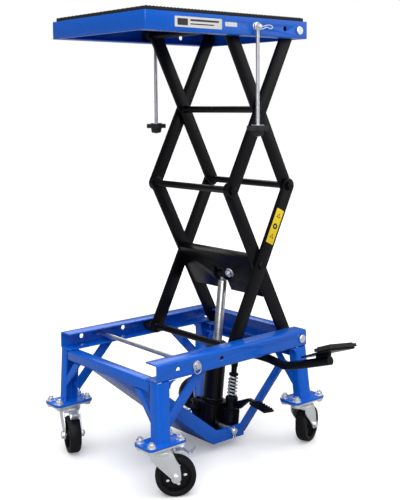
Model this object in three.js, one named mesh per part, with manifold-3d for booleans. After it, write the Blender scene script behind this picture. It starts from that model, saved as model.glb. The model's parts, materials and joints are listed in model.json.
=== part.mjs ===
// Foot-operated hydraulic scissor lift table on four swivel casters.
//
// Millimetres, +Z up. +X runs along the side rails from the front end (open end of the overhang,
// braked casters) to the rear end (fixed scissor pivots). The two foot pedals stand out on the -Y side.
// The model is drawn about the middle of the base frame and moved at the end, so that the exported
// group has its origin at the bottom centre of its bounding box.

import * as THREE from 'three';
import { mergeVertices } from 'three/addons/utils/BufferGeometryUtils.js';
import Module from 'manifold-3d';

const wasm = await Module();
wasm.setup();

// ---------------------------------------------------------------- driving dimensions

const GAP = 0.3; // air left between pieces that bear on each other
const SHEET = 3; // thickness of the bent steel sheet of the frame
const BEND = 4.5; // outside bend radius of that sheet

const RAIL_LENGTH = 388;
const FRAME_WIDTH = 324; // over the webs of the two rails
const RAIL_TOP = 245;
const RAIL_HEIGHT = 34;
const RAIL_FLANGE = 34;
const RAIL_BOTTOM = RAIL_TOP - RAIL_HEIGHT;
const RAIL_END = RAIL_LENGTH / 2;
const RAIL_WEB_Y = FRAME_WIDTH / 2;

const PIVOT_Z = 228; // line of the base pivots, rollers and lock holes
const PIVOT_X = 180; // fixed pivots, at the base and under the platform
const ARM_LENGTH = 349.5; // pivot to pivot
const ARM_ANGLE = THREE.MathUtils.degToRad(63.5); // with the table raised
const ARM_WIDTH = 30;
const ARM_THICK = 6;
const ARM_INNER_Y = 112; // near face of the arms that run to the fixed pivots
const ARM_OUTER_Y = 119; // near face of the arms that run to the rollers
const STAGE_DX = ARM_LENGTH * Math.cos(ARM_ANGLE);
const STAGE_DZ = ARM_LENGTH * Math.sin(ARM_ANGLE);
const ROLLER_X = PIVOT_X - STAGE_DX;
const MIDDLE_Z = PIVOT_Z + STAGE_DZ;
const TOP_PIVOT_Z = PIVOT_Z + 2 * STAGE_DZ;

const PIN_RADIUS = 6;
const ROLLER_RADIUS = 12.2;
const LOCK_HOLES = [-145, -102.5, -39]; // places along the rail for the safety bar
const LOCK_BAR_X = LOCK_HOLES[1];
const LOCK_BAR_RADIUS = 4.5;

const LEG_WIDTH = 30;
const LEG_DEPTH = 22;
const LEG_BOTTOM = 102;
const LEG_SPLAY_Y = 5; // how far a foot stands outside its rail
const FRONT_LEG_LEAN = 3; // how far a front foot stands ahead of its rail end
const REAR_LEG_LEAN = 11;
const LEG_X = RAIL_END - LEG_WIDTH / 2;
const FOOT_LENGTH = 86;
const FOOT_WIDTH = 52;
const FOOT_THICK = 4.5;
const FOOT_Y = 154;
const FOOT_BOLT_X = 33;
const FOOT_BOLT_Y = 17;
const FOOT_BOLT_RADIUS = 4;

const BEAM_HEIGHT = 22;
const BEAM_DEPTH = 22;

const CRADLE_HALF_WIDTH = 69;
const CRADLE_BOTTOM = 18;
const CRADLE_WALL = 26;
const CRADLE_FRONT_X = 19;
const CRADLE_REAR_X = 104;

const WHEEL_RADIUS = 37.5;
const WHEEL_WIDTH = 24;
const CASTER_TRAIL = 27;
const CASTER_TOP = LEG_BOTTOM - FOOT_THICK - GAP; // top face of the caster's mounting plate
const CASTER_PLATE = 3;
const FORK_SHEET = 2.5;
const FORK_INSIDE = 15; // wheel centre plane to the inner face of a fork cheek
const CASTERS = [
  { name: 'front_near', side: -1, end: -1, heading: -35, brake: true },
  { name: 'front_far', side: 1, end: -1, heading: -110, brake: true },
  { name: 'rear_near', side: -1, end: 1, heading: 20, brake: false },
  { name: 'rear_far', side: 1, end: 1, heading: 160, brake: false },
];

const PLATFORM_TOP = 872; // top of the steel pan
const PLATFORM_SKIRT = 34;
const PLATFORM_SHEET = 2.5;
const PLATFORM_HALF_LENGTH = 205;
const PLATFORM_HALF_WIDTH = 153;
const PLATFORM_X = 0;
const MAT_THICK = 8;
const MAT_INSET = 5;

const TIE_ROD_X = 58;
const TIE_ROD_Y = PLATFORM_HALF_WIDTH + 7;
const TIE_ROD_RADIUS = 3.6;
const TIE_ROD_BOTTOM = 645;
const TIE_PIN_Z = 855;
const KNOB_TOP = 666;

const JACK_PIN = { x: 72, z: 36 }; // the jack tilts on this pin in the cradle
const HEAD_PIN = { x: 110, z: 350 }; // the ram's head is pinned to the lower arms here
const JACK_TILT = Math.atan2(HEAD_PIN.x - JACK_PIN.x, HEAD_PIN.z - JACK_PIN.z);
const JACK_LENGTH = Math.hypot(HEAD_PIN.x - JACK_PIN.x, HEAD_PIN.z - JACK_PIN.z);
const CYLINDER_RADIUS = 21.5;
const CYLINDER_TOP = 172; // above the jack's pin, along the jack
const RAM_RADIUS = 8.3;
const PUMP = { x: 12, y: -46 }; // axis of the pump plunger beside the cylinder
const FULCRUM = { y: -30, z: 143 };

// ---------------------------------------------------------------- finishes

const finish = (color, roughness, metalness) => () =>
  new THREE.MeshStandardMaterial({ color, roughness, metalness });
const bluePaint = finish(0x1c5fd0, 0.35, 0.1);
const blackPaint = finish(0x1b1b20, 0.45, 0.2);
const zinc = finish(0xd8dde0, 0.3, 0.85);
const chrome = finish(0xe6e6ea, 0.12, 1.0);
const rubber = finish(0x17171a, 0.85, 0.0);
const blackPlastic = finish(0x1c1c20, 0.5, 0.0);
const steelRod = finish(0xb9bec4, 0.3, 0.9);

// ---------------------------------------------------------------- solid modelling helpers

function toSolid(geometry) {
  const bare = geometry.index ? geometry.toNonIndexed() : geometry.clone();
  bare.deleteAttribute('normal');
  bare.deleteAttribute('uv');
  const merged = mergeVertices(bare, 1e-4);
  return new wasm.Manifold(new wasm.Mesh({
    numProp: 3,
    vertProperties: new Float32Array(merged.attributes.position.array),
    triVerts: new Uint32Array(merged.index.array),
  }));
}

function toGeometry(solid) {
  const mesh = solid.getMesh();
  const geometry = new THREE.BufferGeometry();
  geometry.setAttribute('position', new THREE.BufferAttribute(mesh.vertProperties, 3));
  geometry.setIndex(new THREE.BufferAttribute(mesh.triVerts, 1));
  return geometry;
}

const join = (...geometries) => toGeometry(geometries.map(toSolid).reduce((a, b) => a.add(b)));
const cut = (body, ...tools) => toGeometry(tools.map(toSolid).reduce((a, b) => a.subtract(b), toSolid(body)));

function box(x0, x1, y0, y1, z0, z1) {
  const geometry = new THREE.BoxGeometry(x1 - x0, y1 - y0, z1 - z0);
  return geometry.translate((x0 + x1) / 2, (y0 + y1) / 2, (z0 + z1) / 2);
}

// A round bar along X, Y or Z through (x, y, z), from -before to +after of that point.
function bar(axis, radius, x, y, z, before, after, sides = 14) {
  const geometry = new THREE.CylinderGeometry(radius, radius, before + after, sides);
  geometry.translate(0, (after - before) / 2, 0);
  if (axis === 'x') geometry.rotateZ(-Math.PI / 2);
  if (axis === 'z') geometry.rotateX(Math.PI / 2);
  return geometry.translate(x, y, z);
}

const nut = (axis, radius, x, y, z, before, after) => bar(axis, radius, x, y, z, before, after, 6);

function extrude(shape, depth, steps = 6) {
  return new THREE.ExtrudeGeometry(shape, { depth, bevelEnabled: false, curveSegments: steps });
}

// An outline drawn in X and Z, made into a plate that runs from y to y + thickness.
function plateXZ(shape, y, thickness, steps = 6) {
  return extrude(shape, thickness, steps).rotateX(Math.PI / 2).translate(0, y + thickness, 0);
}

// An outline drawn in Y and Z, made into a plate that runs from x to x + thickness.
function plateYZ(shape, x, thickness, steps = 6) {
  return extrude(shape, thickness, steps).rotateX(Math.PI / 2).rotateZ(Math.PI / 2).translate(x, 0, 0);
}

function outline(...points) {
  return new THREE.Shape(points.map(([u, v]) => new THREE.Vector2(u, v)));
}

// A flat bar's outline between two points, square at its ends.
function strip([u0, v0], [u1, v1], width) {
  const length = Math.hypot(u1 - u0, v1 - v0);
  const nu = (-(v1 - v0) / length) * (width / 2);
  const nv = ((u1 - u0) / length) * (width / 2);
  return outline([u0 - nu, v0 - nv], [u1 - nu, v1 - nv], [u1 + nu, v1 + nv], [u0 + nu, v0 + nv]);
}

// A flat bar's outline between two points, with full round ends and a hole at each place in holes.
function link([u0, v0], [u1, v1], width, holes = [], holeRadius = PIN_RADIUS + 0.25) {
  const angle = Math.atan2(v1 - v0, u1 - u0);
  const radius = width / 2;
  const shape = new THREE.Shape();
  shape.absarc(u1, v1, radius, angle - Math.PI / 2, angle + Math.PI / 2, false);
  shape.absarc(u0, v0, radius, angle + Math.PI / 2, angle + 1.5 * Math.PI, false);
  shape.closePath();
  for (const [u, v] of holes) {
    const hole = new THREE.Path();
    hole.absarc(u, v, holeRadius, 0, 2 * Math.PI, true);
    shape.holes.push(hole);
  }
  return shape;
}

function roundedRectangle(halfU, halfV, radius) {
  const shape = new THREE.Shape();
  shape.absarc(halfU - radius, halfV - radius, radius, 0, Math.PI / 2, false);
  shape.absarc(radius - halfU, halfV - radius, radius, Math.PI / 2, Math.PI, false);
  shape.absarc(radius - halfU, radius - halfV, radius, Math.PI, 1.5 * Math.PI, false);
  shape.absarc(halfU - radius, radius - halfV, radius, 1.5 * Math.PI, 2 * Math.PI, false);
  shape.closePath();
  return shape;
}

// A bent sheet channel: the web stands on u = 0 from v = 0 to height, the flanges reach to u = depth.
function channel(height, depth, sheet = SHEET, bend = BEND) {
  const inner = bend - sheet;
  const shape = new THREE.Shape();
  shape.moveTo(depth, 0);
  shape.lineTo(depth, sheet);
  shape.lineTo(bend, sheet);
  shape.absarc(bend, bend, inner, 1.5 * Math.PI, Math.PI, true);
  shape.lineTo(sheet, height - bend);
  shape.absarc(bend, height - bend, inner, Math.PI, Math.PI / 2, true);
  shape.lineTo(depth, height - sheet);
  shape.lineTo(depth, height);
  shape.lineTo(bend, height);
  shape.absarc(bend, height - bend, bend, Math.PI / 2, Math.PI, false);
  shape.lineTo(0, bend);
  shape.absarc(bend, bend, bend, Math.PI, 1.5 * Math.PI, false);
  shape.closePath();
  return shape;
}

// A round tube or wire along a curve.
function tubeAlong(curve, radius, steps, sides = 10) {
  const section = new THREE.Shape();
  section.absarc(0, 0, radius, 0, 2 * Math.PI, false);
  return new THREE.ExtrudeGeometry(section, {
    extrudePath: curve, steps, bevelEnabled: false, curveSegments: sides / 2,
  });
}

function smoothCurve(points) {
  const places = points.map(([x, y, z]) => new THREE.Vector3(x, y, z));
  return new THREE.CatmullRomCurve3(places, false, 'centripetal');
}

const lathe = (profile, sides) =>
  new THREE.LatheGeometry(profile.map(([r, z]) => new THREE.Vector2(r, z)), sides).rotateX(Math.PI / 2);

const mirrorY = (geometry) => toGeometry(toSolid(geometry).mirror([0, 1, 0]));

// Draws a piece for the -Y side and mirrors it for the +Y side.
const onSide = (side, geometry) => (side < 0 ? geometry : mirrorY(geometry));

// ---------------------------------------------------------------- the assembly

const table = new THREE.Group();

function addPart(name, geometry, material, parent = table) {
  const mesh = new THREE.Mesh(geometry, material());
  mesh.name = name;
  parent.add(mesh);
  return mesh;
}

const SIDES = [['near', -1], ['far', 1]];

// ---------------------------------------------------------------- base frame

// Side rail: a channel open towards the middle, which is also the track of the lower rollers.
function rail() {
  const profile = channel(RAIL_HEIGHT, RAIL_FLANGE);
  const body = extrude(profile, RAIL_LENGTH, 2)
    .rotateX(Math.PI / 2)
    .rotateZ(Math.PI / 2)
    .translate(-RAIL_END, -RAIL_WEB_Y, RAIL_BOTTOM);
  const holes = LOCK_HOLES.map((x) => bar('y', LOCK_BAR_RADIUS + 0.5, x, -RAIL_WEB_Y, PIVOT_Z, 2, 8, 12));
  const pivotHole = bar('y', PIN_RADIUS + GAP, PIVOT_X, -RAIL_WEB_Y, PIVOT_Z, 2, 8);
  return cut(body, pivotHole, ...holes);
}

// Leg: a channel that leans outwards, its foot plate and the flat braces welded to it.
function leg(end) {
  const lean = end < 0 ? -FRONT_LEG_LEAN : REAR_LEG_LEAN;
  const height = RAIL_BOTTOM - GAP - LEG_BOTTOM;
  const post = extrude(channel(LEG_WIDTH, LEG_DEPTH), height + 1, 2)
    .rotateZ(Math.PI / 2)
    .translate(LEG_WIDTH / 2, 0, 0);
  const shear = new THREE.Matrix4().set(
    1, 0, -lean / (RAIL_BOTTOM - LEG_BOTTOM), end * LEG_X + lean,
    0, 1, LEG_SPLAY_Y / (RAIL_BOTTOM - LEG_BOTTOM), -RAIL_WEB_Y - LEG_SPLAY_Y,
    0, 0, 1, LEG_BOTTOM - 1,
    0, 0, 0, 1,
  );
  post.applyMatrix4(shear);
  const pieces = [post];

  const plate = extrude(roundedRectangle(FOOT_LENGTH / 2, FOOT_WIDTH / 2, 8), FOOT_THICK, 2)
    .translate(end * LEG_X + lean, -FOOT_Y, LEG_BOTTOM - FOOT_THICK);
  pieces.push(plate);

  // brace in the end plane, from the cross beam down to the leg
  const beamBottom = RAIL_BOTTOM - BEAM_HEIGHT - GAP;
  const braceX = end < 0 ? -RAIL_END - 1 : RAIL_END - 25;
  pieces.push(plateYZ(outline(
    [-145, beamBottom - 56], [-145, beamBottom - 38], [-112, beamBottom], [-94, beamBottom],
  ), braceX, 5));

  // fillet between the leg and the rail, in the plane of the web
  const inside = end * (LEG_X - LEG_WIDTH / 2) + end * 1;
  const top = RAIL_BOTTOM - GAP;
  const filletRadius = 13;
  const fillet = new THREE.Shape();
  fillet.moveTo(inside, top);
  fillet.lineTo(inside - end * (filletRadius + 1), top);
  for (let i = 0; i <= 5; i += 1) {
    const a = (i / 5) * (Math.PI / 2);
    fillet.lineTo(
      inside - end * (filletRadius + 1) + end * filletRadius * Math.sin(a),
      top - 1 - filletRadius + filletRadius * Math.cos(a),
    );
  }
  fillet.lineTo(inside, top - 1 - filletRadius);
  pieces.push(plateXZ(fillet, -RAIL_WEB_Y, SHEET));

  // side strut from the underside of the rail to the foot of a front leg
  if (end < 0) {
    const strutTop = [-84, RAIL_BOTTOM - GAP];
    const strutFoot = [-166, 126];
    const strut = plateXZ(strip([strutTop[0] + 10, strutTop[1] + 10], strutFoot, 20), -152, 4);
    pieces.push(cut(strut, box(-120, 0, -160, -140, RAIL_BOTTOM - GAP, RAIL_BOTTOM + 30)));
  }

  const bolts = [];
  for (const u of [-1, 1]) {
    for (const v of [-1, 1]) {
      bolts.push(bar('z', FOOT_BOLT_RADIUS + 2 * GAP, end * LEG_X + lean + u * FOOT_BOLT_X,
        -FOOT_Y + v * FOOT_BOLT_Y, LEG_BOTTOM, 8, 8, 8));
    }
  }
  return cut(join(...pieces), ...bolts);
}

// Front cross beam: an angle section under the ends of the rails, between the legs.
function frontBeam() {
  const half = RAIL_WEB_Y - LEG_DEPTH - 4;
  const body = extrude(channel(BEAM_HEIGHT, BEAM_DEPTH), 2 * half, 3)
    .rotateX(Math.PI / 2)
    .translate(-RAIL_END, half, RAIL_BOTTOM - GAP - BEAM_HEIGHT);
  return body;
}

// Rear cross beam: the same section, with an upright web between the fixed pivots.
function rearBeam() {
  const half = RAIL_WEB_Y - LEG_DEPTH - 4;
  const low = extrude(channel(BEAM_HEIGHT, BEAM_DEPTH), 2 * half, 3)
    .rotateX(Math.PI / 2)
    .rotateZ(Math.PI)
    .translate(RAIL_END, -half, RAIL_BOTTOM - GAP - BEAM_HEIGHT);
  const webHalf = ARM_INNER_Y - 6;
  const web = box(RAIL_END - SHEET, RAIL_END, -webHalf, webHalf, RAIL_BOTTOM - BEAM_HEIGHT / 2, RAIL_TOP);
  const lip = box(RAIL_END - 24, RAIL_END, -webHalf, webHalf, RAIL_TOP - SHEET, RAIL_TOP);
  return join(low, web, lip);
}

// Cradle: a bent channel that hangs from the front beam and carries the jack, with a flat bar
// from each rear corner up and out to the rear leg.
function cradle() {
  const half = CRADLE_HALF_WIDTH;
  const frontTop = [-RAIL_END + 6, RAIL_BOTTOM - GAP - BEAM_HEIGHT - GAP];
  const side = outline(
    [CRADLE_REAR_X, CRADLE_BOTTOM],
    [CRADLE_REAR_X, CRADLE_BOTTOM + CRADLE_WALL],
    [CRADLE_FRONT_X + 11, CRADLE_BOTTOM + CRADLE_WALL],
    [frontTop[0] + 36, frontTop[1]],
    frontTop,
    [CRADLE_FRONT_X, CRADLE_BOTTOM],
  );
  const blank = plateXZ(side, -half, 2 * half);
  const hollow = outline(
    [CRADLE_REAR_X + 5, CRADLE_BOTTOM + SHEET],
    [CRADLE_REAR_X + 5, RAIL_TOP],
    [frontTop[0] - 40, RAIL_TOP],
    [frontTop[0] - 40, frontTop[1] + 46 * 0.842],
    [CRADLE_FRONT_X + 1.2, CRADLE_BOTTOM + SHEET],
  );
  const body = cut(
    blank,
    plateXZ(hollow, -half + SHEET, 2 * (half - SHEET)),
    bar('y', PIN_RADIUS + GAP, JACK_PIN.x, -half, JACK_PIN.z, 5, 2 * half + 5),
  );
  const rise = 0.435; // how fast a rear bar runs outwards as it climbs
  const rearBar = plateXZ(strip([CRADLE_REAR_X - 6, CRADLE_BOTTOM + 10], [158, 182], 27), 0, 4);
  rearBar.applyMatrix4(new THREE.Matrix4().set(
    1, 0, 0, 0,
    0, 1, -rise, -half + rise * (CRADLE_BOTTOM + 13) + 0.5,
    0, 0, 1, 0,
    0, 0, 0, 1,
  ));
  const trimmed = cut(rearBar, box(0, 200, -200, 0, 0, CRADLE_BOTTOM));
  return join(body, trimmed, mirrorY(trimmed));
}

// Pin through the cradle walls that the jack tilts on, with a head at one end and a clip at the other.
function jackPin() {
  const half = CRADLE_HALF_WIDTH;
  const pin = bar('y', PIN_RADIUS, JACK_PIN.x, 0, JACK_PIN.z, half + 10, half + 4);
  const head = bar('y', 9, JACK_PIN.x, 0, JACK_PIN.z, -half - GAP, half + 4);
  return join(pin, head);
}

for (const [sideName, side] of SIDES) {
  addPart(`rail_${sideName}`, onSide(side, rail()), bluePaint);
  addPart(`leg_front_${sideName}`, onSide(side, leg(-1)), bluePaint);
  addPart(`leg_rear_${sideName}`, onSide(side, leg(1)), bluePaint);
}
addPart('beam_front', frontBeam(), bluePaint);
addPart('beam_rear', rearBeam(), bluePaint);
addPart('jack_cradle', cradle(), bluePaint);
addPart('jack_pin', jackPin(), zinc);

// Safety bar through two of the rail holes: a rod with a washer, a nut and a ring at the near end.
function lockBar() {
  const reach = RAIL_WEB_Y + 8;
  const rod = bar('y', LOCK_BAR_RADIUS, LOCK_BAR_X, 0, PIVOT_Z, reach, reach, 14);
  const washer = bar('y', 9, LOCK_BAR_X, 0, PIVOT_Z, RAIL_WEB_Y + 2.2, -RAIL_WEB_Y - 0.5, 20);
  const hex = nut('y', 7, LOCK_BAR_X, 0, PIVOT_Z, RAIL_WEB_Y + 7, -RAIL_WEB_Y - 2);
  return join(rod, washer, hex);
}
addPart('lock_bar', lockBar(), steelRod);

// ---------------------------------------------------------------- casters

function casterMount() {
  const plate = extrude(roundedRectangle(FOOT_LENGTH / 2 - 1, FOOT_WIDTH / 2 - 1, 7), CASTER_PLATE, 2)
    .translate(0, 0, CASTER_TOP - CASTER_PLATE);
  const pieces = [plate];
  for (const u of [-1, 1]) {
    for (const v of [-1, 1]) {
      const x = u * FOOT_BOLT_X;
      const y = v * FOOT_BOLT_Y;
      pieces.push(bar('z', FOOT_BOLT_RADIUS, x, y, CASTER_TOP, 1, FOOT_THICK + 11, 6));
      pieces.push(nut('z', 7.2, x, y, LEG_BOTTOM + GAP, 0, 6.5));
    }
  }
  const race = lathe([[0, -4.5], [22, -4.5], [22, -2.5], [19, 0], [0, 0]], 14)
    .translate(0, 0, CASTER_TOP - CASTER_PLATE + 0.2);
  pieces.push(race);
  return join(...pieces);
}

// The fork is drawn trailing along +X; its swivel axis is the Z axis.
const FORK_TOP = CASTER_TOP - CASTER_PLATE - 4.5 - GAP;
function casterFork() {
  const race = lathe([[0, -5], [23, -5], [23, -3], [20, 0], [0, 0]], 14).translate(0, 0, FORK_TOP);
  const width = FORK_INSIDE + FORK_SHEET;
  const yoke = box(-18.6, 21.6, 0.4 - width, width - 0.4, FORK_TOP - 9, FORK_TOP - 4.5);
  const cheekTop = FORK_TOP - 6.8;
  const axleEye = 9;
  const cheek = new THREE.Shape();
  cheek.moveTo(-19, cheekTop);
  cheek.lineTo(-19, cheekTop - 9);
  cheek.lineTo(CASTER_TRAIL - axleEye, WHEEL_RADIUS - 1);
  cheek.absarc(CASTER_TRAIL, WHEEL_RADIUS, axleEye, Math.PI, 2 * Math.PI, false);
  cheek.lineTo(CASTER_TRAIL + 8, cheekTop - 21);
  cheek.lineTo(22, cheekTop);
  cheek.closePath();
  const pieces = [race, yoke];
  for (const y of [-width, FORK_INSIDE]) {
    pieces.push(plateXZ(cheek, y, FORK_SHEET, 3));
  }
  pieces.push(bar('y', 4, CASTER_TRAIL, 0, WHEEL_RADIUS, width + 3, width + 8, 6));
  pieces.push(nut('y', 7.5, CASTER_TRAIL, 0, WHEEL_RADIUS, width + 5, -width + 1));
  pieces.push(nut('y', 7.5, CASTER_TRAIL, 0, WHEEL_RADIUS, -width + 1, width + 6.5));
  return join(...pieces);
}

function casterWheel() {
  const half = WHEEL_WIDTH / 2;
  const rim = WHEEL_RADIUS - 9;
  const profile = [
    [4.6, -half - 1.5], [9, -half - 1.5], [10, -4], [rim - 2, -4], [rim, -half],
    [WHEEL_RADIUS - 2, -half], [WHEEL_RADIUS, -half + 4], [WHEEL_RADIUS, half - 4], [WHEEL_RADIUS - 2, half],
    [rim, half], [rim - 2, 4], [10, 4], [9, half + 1.5], [4.6, half + 1.5], [4.6, -half - 1.5],
  ];
  const body = lathe(profile, 20);
  const holes = [];
  const count = 5;
  for (let i = 0; i < count; i += 1) {
    const angle = (i / count) * 2 * Math.PI;
    const ring = (10 + rim - 3) / 2;
    holes.push(bar('z', 4.2, ring * Math.cos(angle), ring * Math.sin(angle), 0, 8, 8, 5));
  }
  return cut(body, ...holes).rotateX(Math.PI / 2).translate(CASTER_TRAIL, 0, WHEEL_RADIUS);
}

// Foot brake: a bent tab above the wheel that presses a shoe on the tread when it is stepped on.
function casterBrake() {
  const width = FORK_INSIDE - 1;
  const pivotX = 31;
  const pivotZ = FORK_TOP - 4;
  const tab = outline(
    [pivotX - 4, pivotZ - 3.5], [pivotX + 19, pivotZ - 3.5], [pivotX + 38, pivotZ + 2.5],
    [pivotX + 38, pivotZ + 5.5], [pivotX + 18, pivotZ], [pivotX - 4, pivotZ],
  );
  return plateXZ(tab, -width + 2, 2 * (width - 2));
}

for (const caster of CASTERS) {
  const lean = caster.end < 0 ? -FRONT_LEG_LEAN : REAR_LEG_LEAN;
  const x = caster.end * LEG_X + lean;
  const y = caster.side * FOOT_Y;
  addPart(`caster_mount_${caster.name}`, casterMount(), zinc).position.set(x, y, 0);
  const swivel = new THREE.Group();
  swivel.position.set(x, y, 0);
  swivel.rotation.z = THREE.MathUtils.degToRad(caster.heading);
  table.add(swivel);
  addPart(`caster_fork_${caster.name}`, casterFork(), zinc, swivel);
  addPart(`caster_wheel_${caster.name}`, casterWheel(), rubber, swivel);
  if (caster.brake) addPart(`caster_brake_${caster.name}`, casterBrake(), zinc, swivel);
}

// ---------------------------------------------------------------- scissor

const BASE_PIVOT = [PIVOT_X, PIVOT_Z];
const BASE_ROLLER = [ROLLER_X, PIVOT_Z];
const MIDDLE_FRONT = [ROLLER_X, MIDDLE_Z];
const MIDDLE_REAR = [PIVOT_X, MIDDLE_Z];
const TOP_PIVOT = [PIVOT_X, TOP_PIVOT_Z];
const TOP_ROLLER = [ROLLER_X, TOP_PIVOT_Z];
const CENTRE_X = (PIVOT_X + ROLLER_X) / 2;
const LOWER_CENTRE = [CENTRE_X, (PIVOT_Z + MIDDLE_Z) / 2];
const UPPER_CENTRE = [CENTRE_X, (MIDDLE_Z + TOP_PIVOT_Z) / 2];

const INNER_OUT = ARM_INNER_Y + ARM_THICK; // outer face of an inner arm
const OUTER_OUT = ARM_OUTER_Y + ARM_THICK;

// A stepped pin that is part of one arm: it runs out from y0 to y1, and ends in a round or hex head.
function pivotPin([x, z], y0, y1, headRadius, headLength, hex = false) {
  const shaft = bar('y', PIN_RADIUS, x, 0, z, y1, -y0, 8);
  const head = bar('y', headRadius, x, 0, z, y1 + headLength, -y1 + 0.5, hex ? 6 : 12);
  return join(shaft, head);
}

// The two inner arms of the lower stage run from the fixed base pivots to the front middle joints.
function lowerInnerArm() {
  const arm = plateXZ(link(BASE_PIVOT, MIDDLE_FRONT, ARM_WIDTH, []), -INNER_OUT, ARM_THICK, 8);
  return join(
    arm,
    pivotPin(BASE_PIVOT, INNER_OUT - 1, RAIL_WEB_Y + 0.8, 8.5, 3.5),
    pivotPin(LOWER_CENTRE, INNER_OUT - 1, OUTER_OUT + 0.7, 8.5, 3),
    pivotPin(MIDDLE_FRONT, INNER_OUT - 1, OUTER_OUT + 0.7, 9, 5.5, true),
  );
}

// The two outer arms of the lower stage run from the base rollers to the rear middle joints.
function lowerOuterArm() {
  const arm = plateXZ(link(BASE_ROLLER, MIDDLE_REAR, ARM_WIDTH, [LOWER_CENTRE]), -OUTER_OUT, ARM_THICK, 8);
  const [axleX, axleZ] = BASE_ROLLER;
  const axle = bar('y', PIN_RADIUS, axleX, 0, axleZ, RAIL_WEB_Y - SHEET - 2, 1 - OUTER_OUT, 10);
  return join(arm, axle);
}

// Upper stage, outer pair: from the front middle joints up to the fixed pivots under the platform.
function upperOuterArm() {
  const arm = plateXZ(link(MIDDLE_FRONT, TOP_PIVOT, ARM_WIDTH, [MIDDLE_FRONT, UPPER_CENTRE]),
    -OUTER_OUT, ARM_THICK, 8);
  const pin = pivotPin(TOP_PIVOT, OUTER_OUT - 1, PLATFORM_HALF_WIDTH + 0.8, 8.5, 3);
  return join(arm, pin);
}

// Upper stage, inner pair: from the rear middle joints up to the rollers under the platform.
function upperInnerArm() {
  const arm = plateXZ(link(MIDDLE_REAR, TOP_ROLLER, ARM_WIDTH, []), -INNER_OUT, ARM_THICK, 8);
  const axle = bar('y', PIN_RADIUS, TOP_ROLLER[0], 0, TOP_ROLLER[1], PLATFORM_HALF_WIDTH - SHEET - 2,
    -INNER_OUT + 1, 10);
  return join(
    arm,
    axle,
    pivotPin(UPPER_CENTRE, INNER_OUT - 1, OUTER_OUT + 0.7, 8.5, 3),
    pivotPin(MIDDLE_REAR, INNER_OUT - 1, OUTER_OUT + 0.7, 9, 5.5, true),
  );
}

// A round cross tube between a pair of arms.
const crossTube = ([x, z], half, radius) => bar('y', radius, x, 0, z, half - GAP, half - GAP, 12);

// A grooved roller that runs inside a channel flange.
function roller([x, z], y0, y1) {
  const profile = [
    [PIN_RADIUS + GAP, y0], [ROLLER_RADIUS, y0], [ROLLER_RADIUS, y1], [PIN_RADIUS + GAP, y1],
    [PIN_RADIUS + GAP, y0],
  ];
  return lathe(profile, 16).rotateX(Math.PI / 2).translate(x, 0, z);
}

for (const [sideName, side] of SIDES) {
  addPart(`arm_lower_inner_${sideName}`, onSide(side, lowerInnerArm()), blackPaint);
  const outer = lowerOuterArm();
  addPart(`arm_lower_outer_${sideName}`, onSide(side, cut(outer,
    bar('y', PIN_RADIUS + GAP, MIDDLE_REAR[0], 0, MIDDLE_REAR[1], 140, -100))), blackPaint);
  addPart(`arm_upper_outer_${sideName}`, onSide(side, upperOuterArm()), blackPaint);
  addPart(`arm_upper_inner_${sideName}`, onSide(side, upperInnerArm()), blackPaint);
  const webInside = RAIL_WEB_Y - SHEET;
  addPart(`roller_lower_${sideName}`,
    onSide(side, roller(BASE_ROLLER, OUTER_OUT + 3, webInside - 3)), blackPlastic);
  const skirtInside = PLATFORM_HALF_WIDTH - SHEET;
  addPart(`roller_upper_${sideName}`,
    onSide(side, roller(TOP_ROLLER, OUTER_OUT + 3, skirtInside - 3)), blackPlastic);
}
addPart('tube_lower_axle', crossTube(BASE_ROLLER, ARM_OUTER_Y, 7), blackPaint);
addPart('tube_middle_front', crossTube(MIDDLE_FRONT, ARM_INNER_Y, 7), blackPaint);
addPart('tube_middle_rear', crossTube(MIDDLE_REAR, ARM_INNER_Y, 7), blackPaint);
addPart('tube_upper_centre', crossTube(UPPER_CENTRE, ARM_INNER_Y, 7), blackPaint);
addPart('tube_upper_axle', crossTube(TOP_ROLLER, ARM_INNER_Y, 7), blackPaint);

// Jack bracket: a plate across the two lower inner arms, on their underside, with two ears that
// hold the ram's head pin, and a lip along its top edge.
function jackBracket() {
  const half = ARM_INNER_Y - GAP;
  const along = (s, offset) => [
    PIVOT_X - s * Math.cos(ARM_ANGLE) - offset * Math.sin(ARM_ANGLE),
    PIVOT_Z + s * Math.sin(ARM_ANGLE) - offset * Math.cos(ARM_ANGLE),
  ];
  const plateSection = outline(along(104, 9), along(104, 14), along(196, 14), along(196, 9));
  const lipSection = outline(along(189, -6), along(189, 14), along(196, 14), along(196, -6));
  const plate = plateXZ(plateSection, -half, 2 * half);
  const lip = plateXZ(lipSection, -half, 2 * half);
  const headPin = [HEAD_PIN.x, HEAD_PIN.z];
  const pieces = [plate, lip];
  for (const y of [-19, 14]) {
    pieces.push(plateXZ(link(headPin, along(152, 4), 26, []), y, 5, 5));
  }
  const pocket = box(headPin[0] - 25, headPin[0] + 40, -13, 13, headPin[1] - 60, headPin[1] + 15);
  const pin = bar('y', 5, headPin[0], 0, headPin[1], 21, 21, 14);
  const [headX, headZ] = headPin;
  const heads = [nut('y', 8, headX, 0, headZ, 26, -19), nut('y', 8, headX, 0, headZ, -19, 25)];
  const gussets = [-80, 76].map((y) => plateXZ(
    outline(along(112, 10), along(189, 10), along(189, -5), along(140, 2)), y, 4));
  return join(cut(join(...pieces), pocket), pin, ...heads, ...gussets);
}
addPart('jack_bracket', jackBracket(), blackPaint);

// ---------------------------------------------------------------- platform

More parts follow.
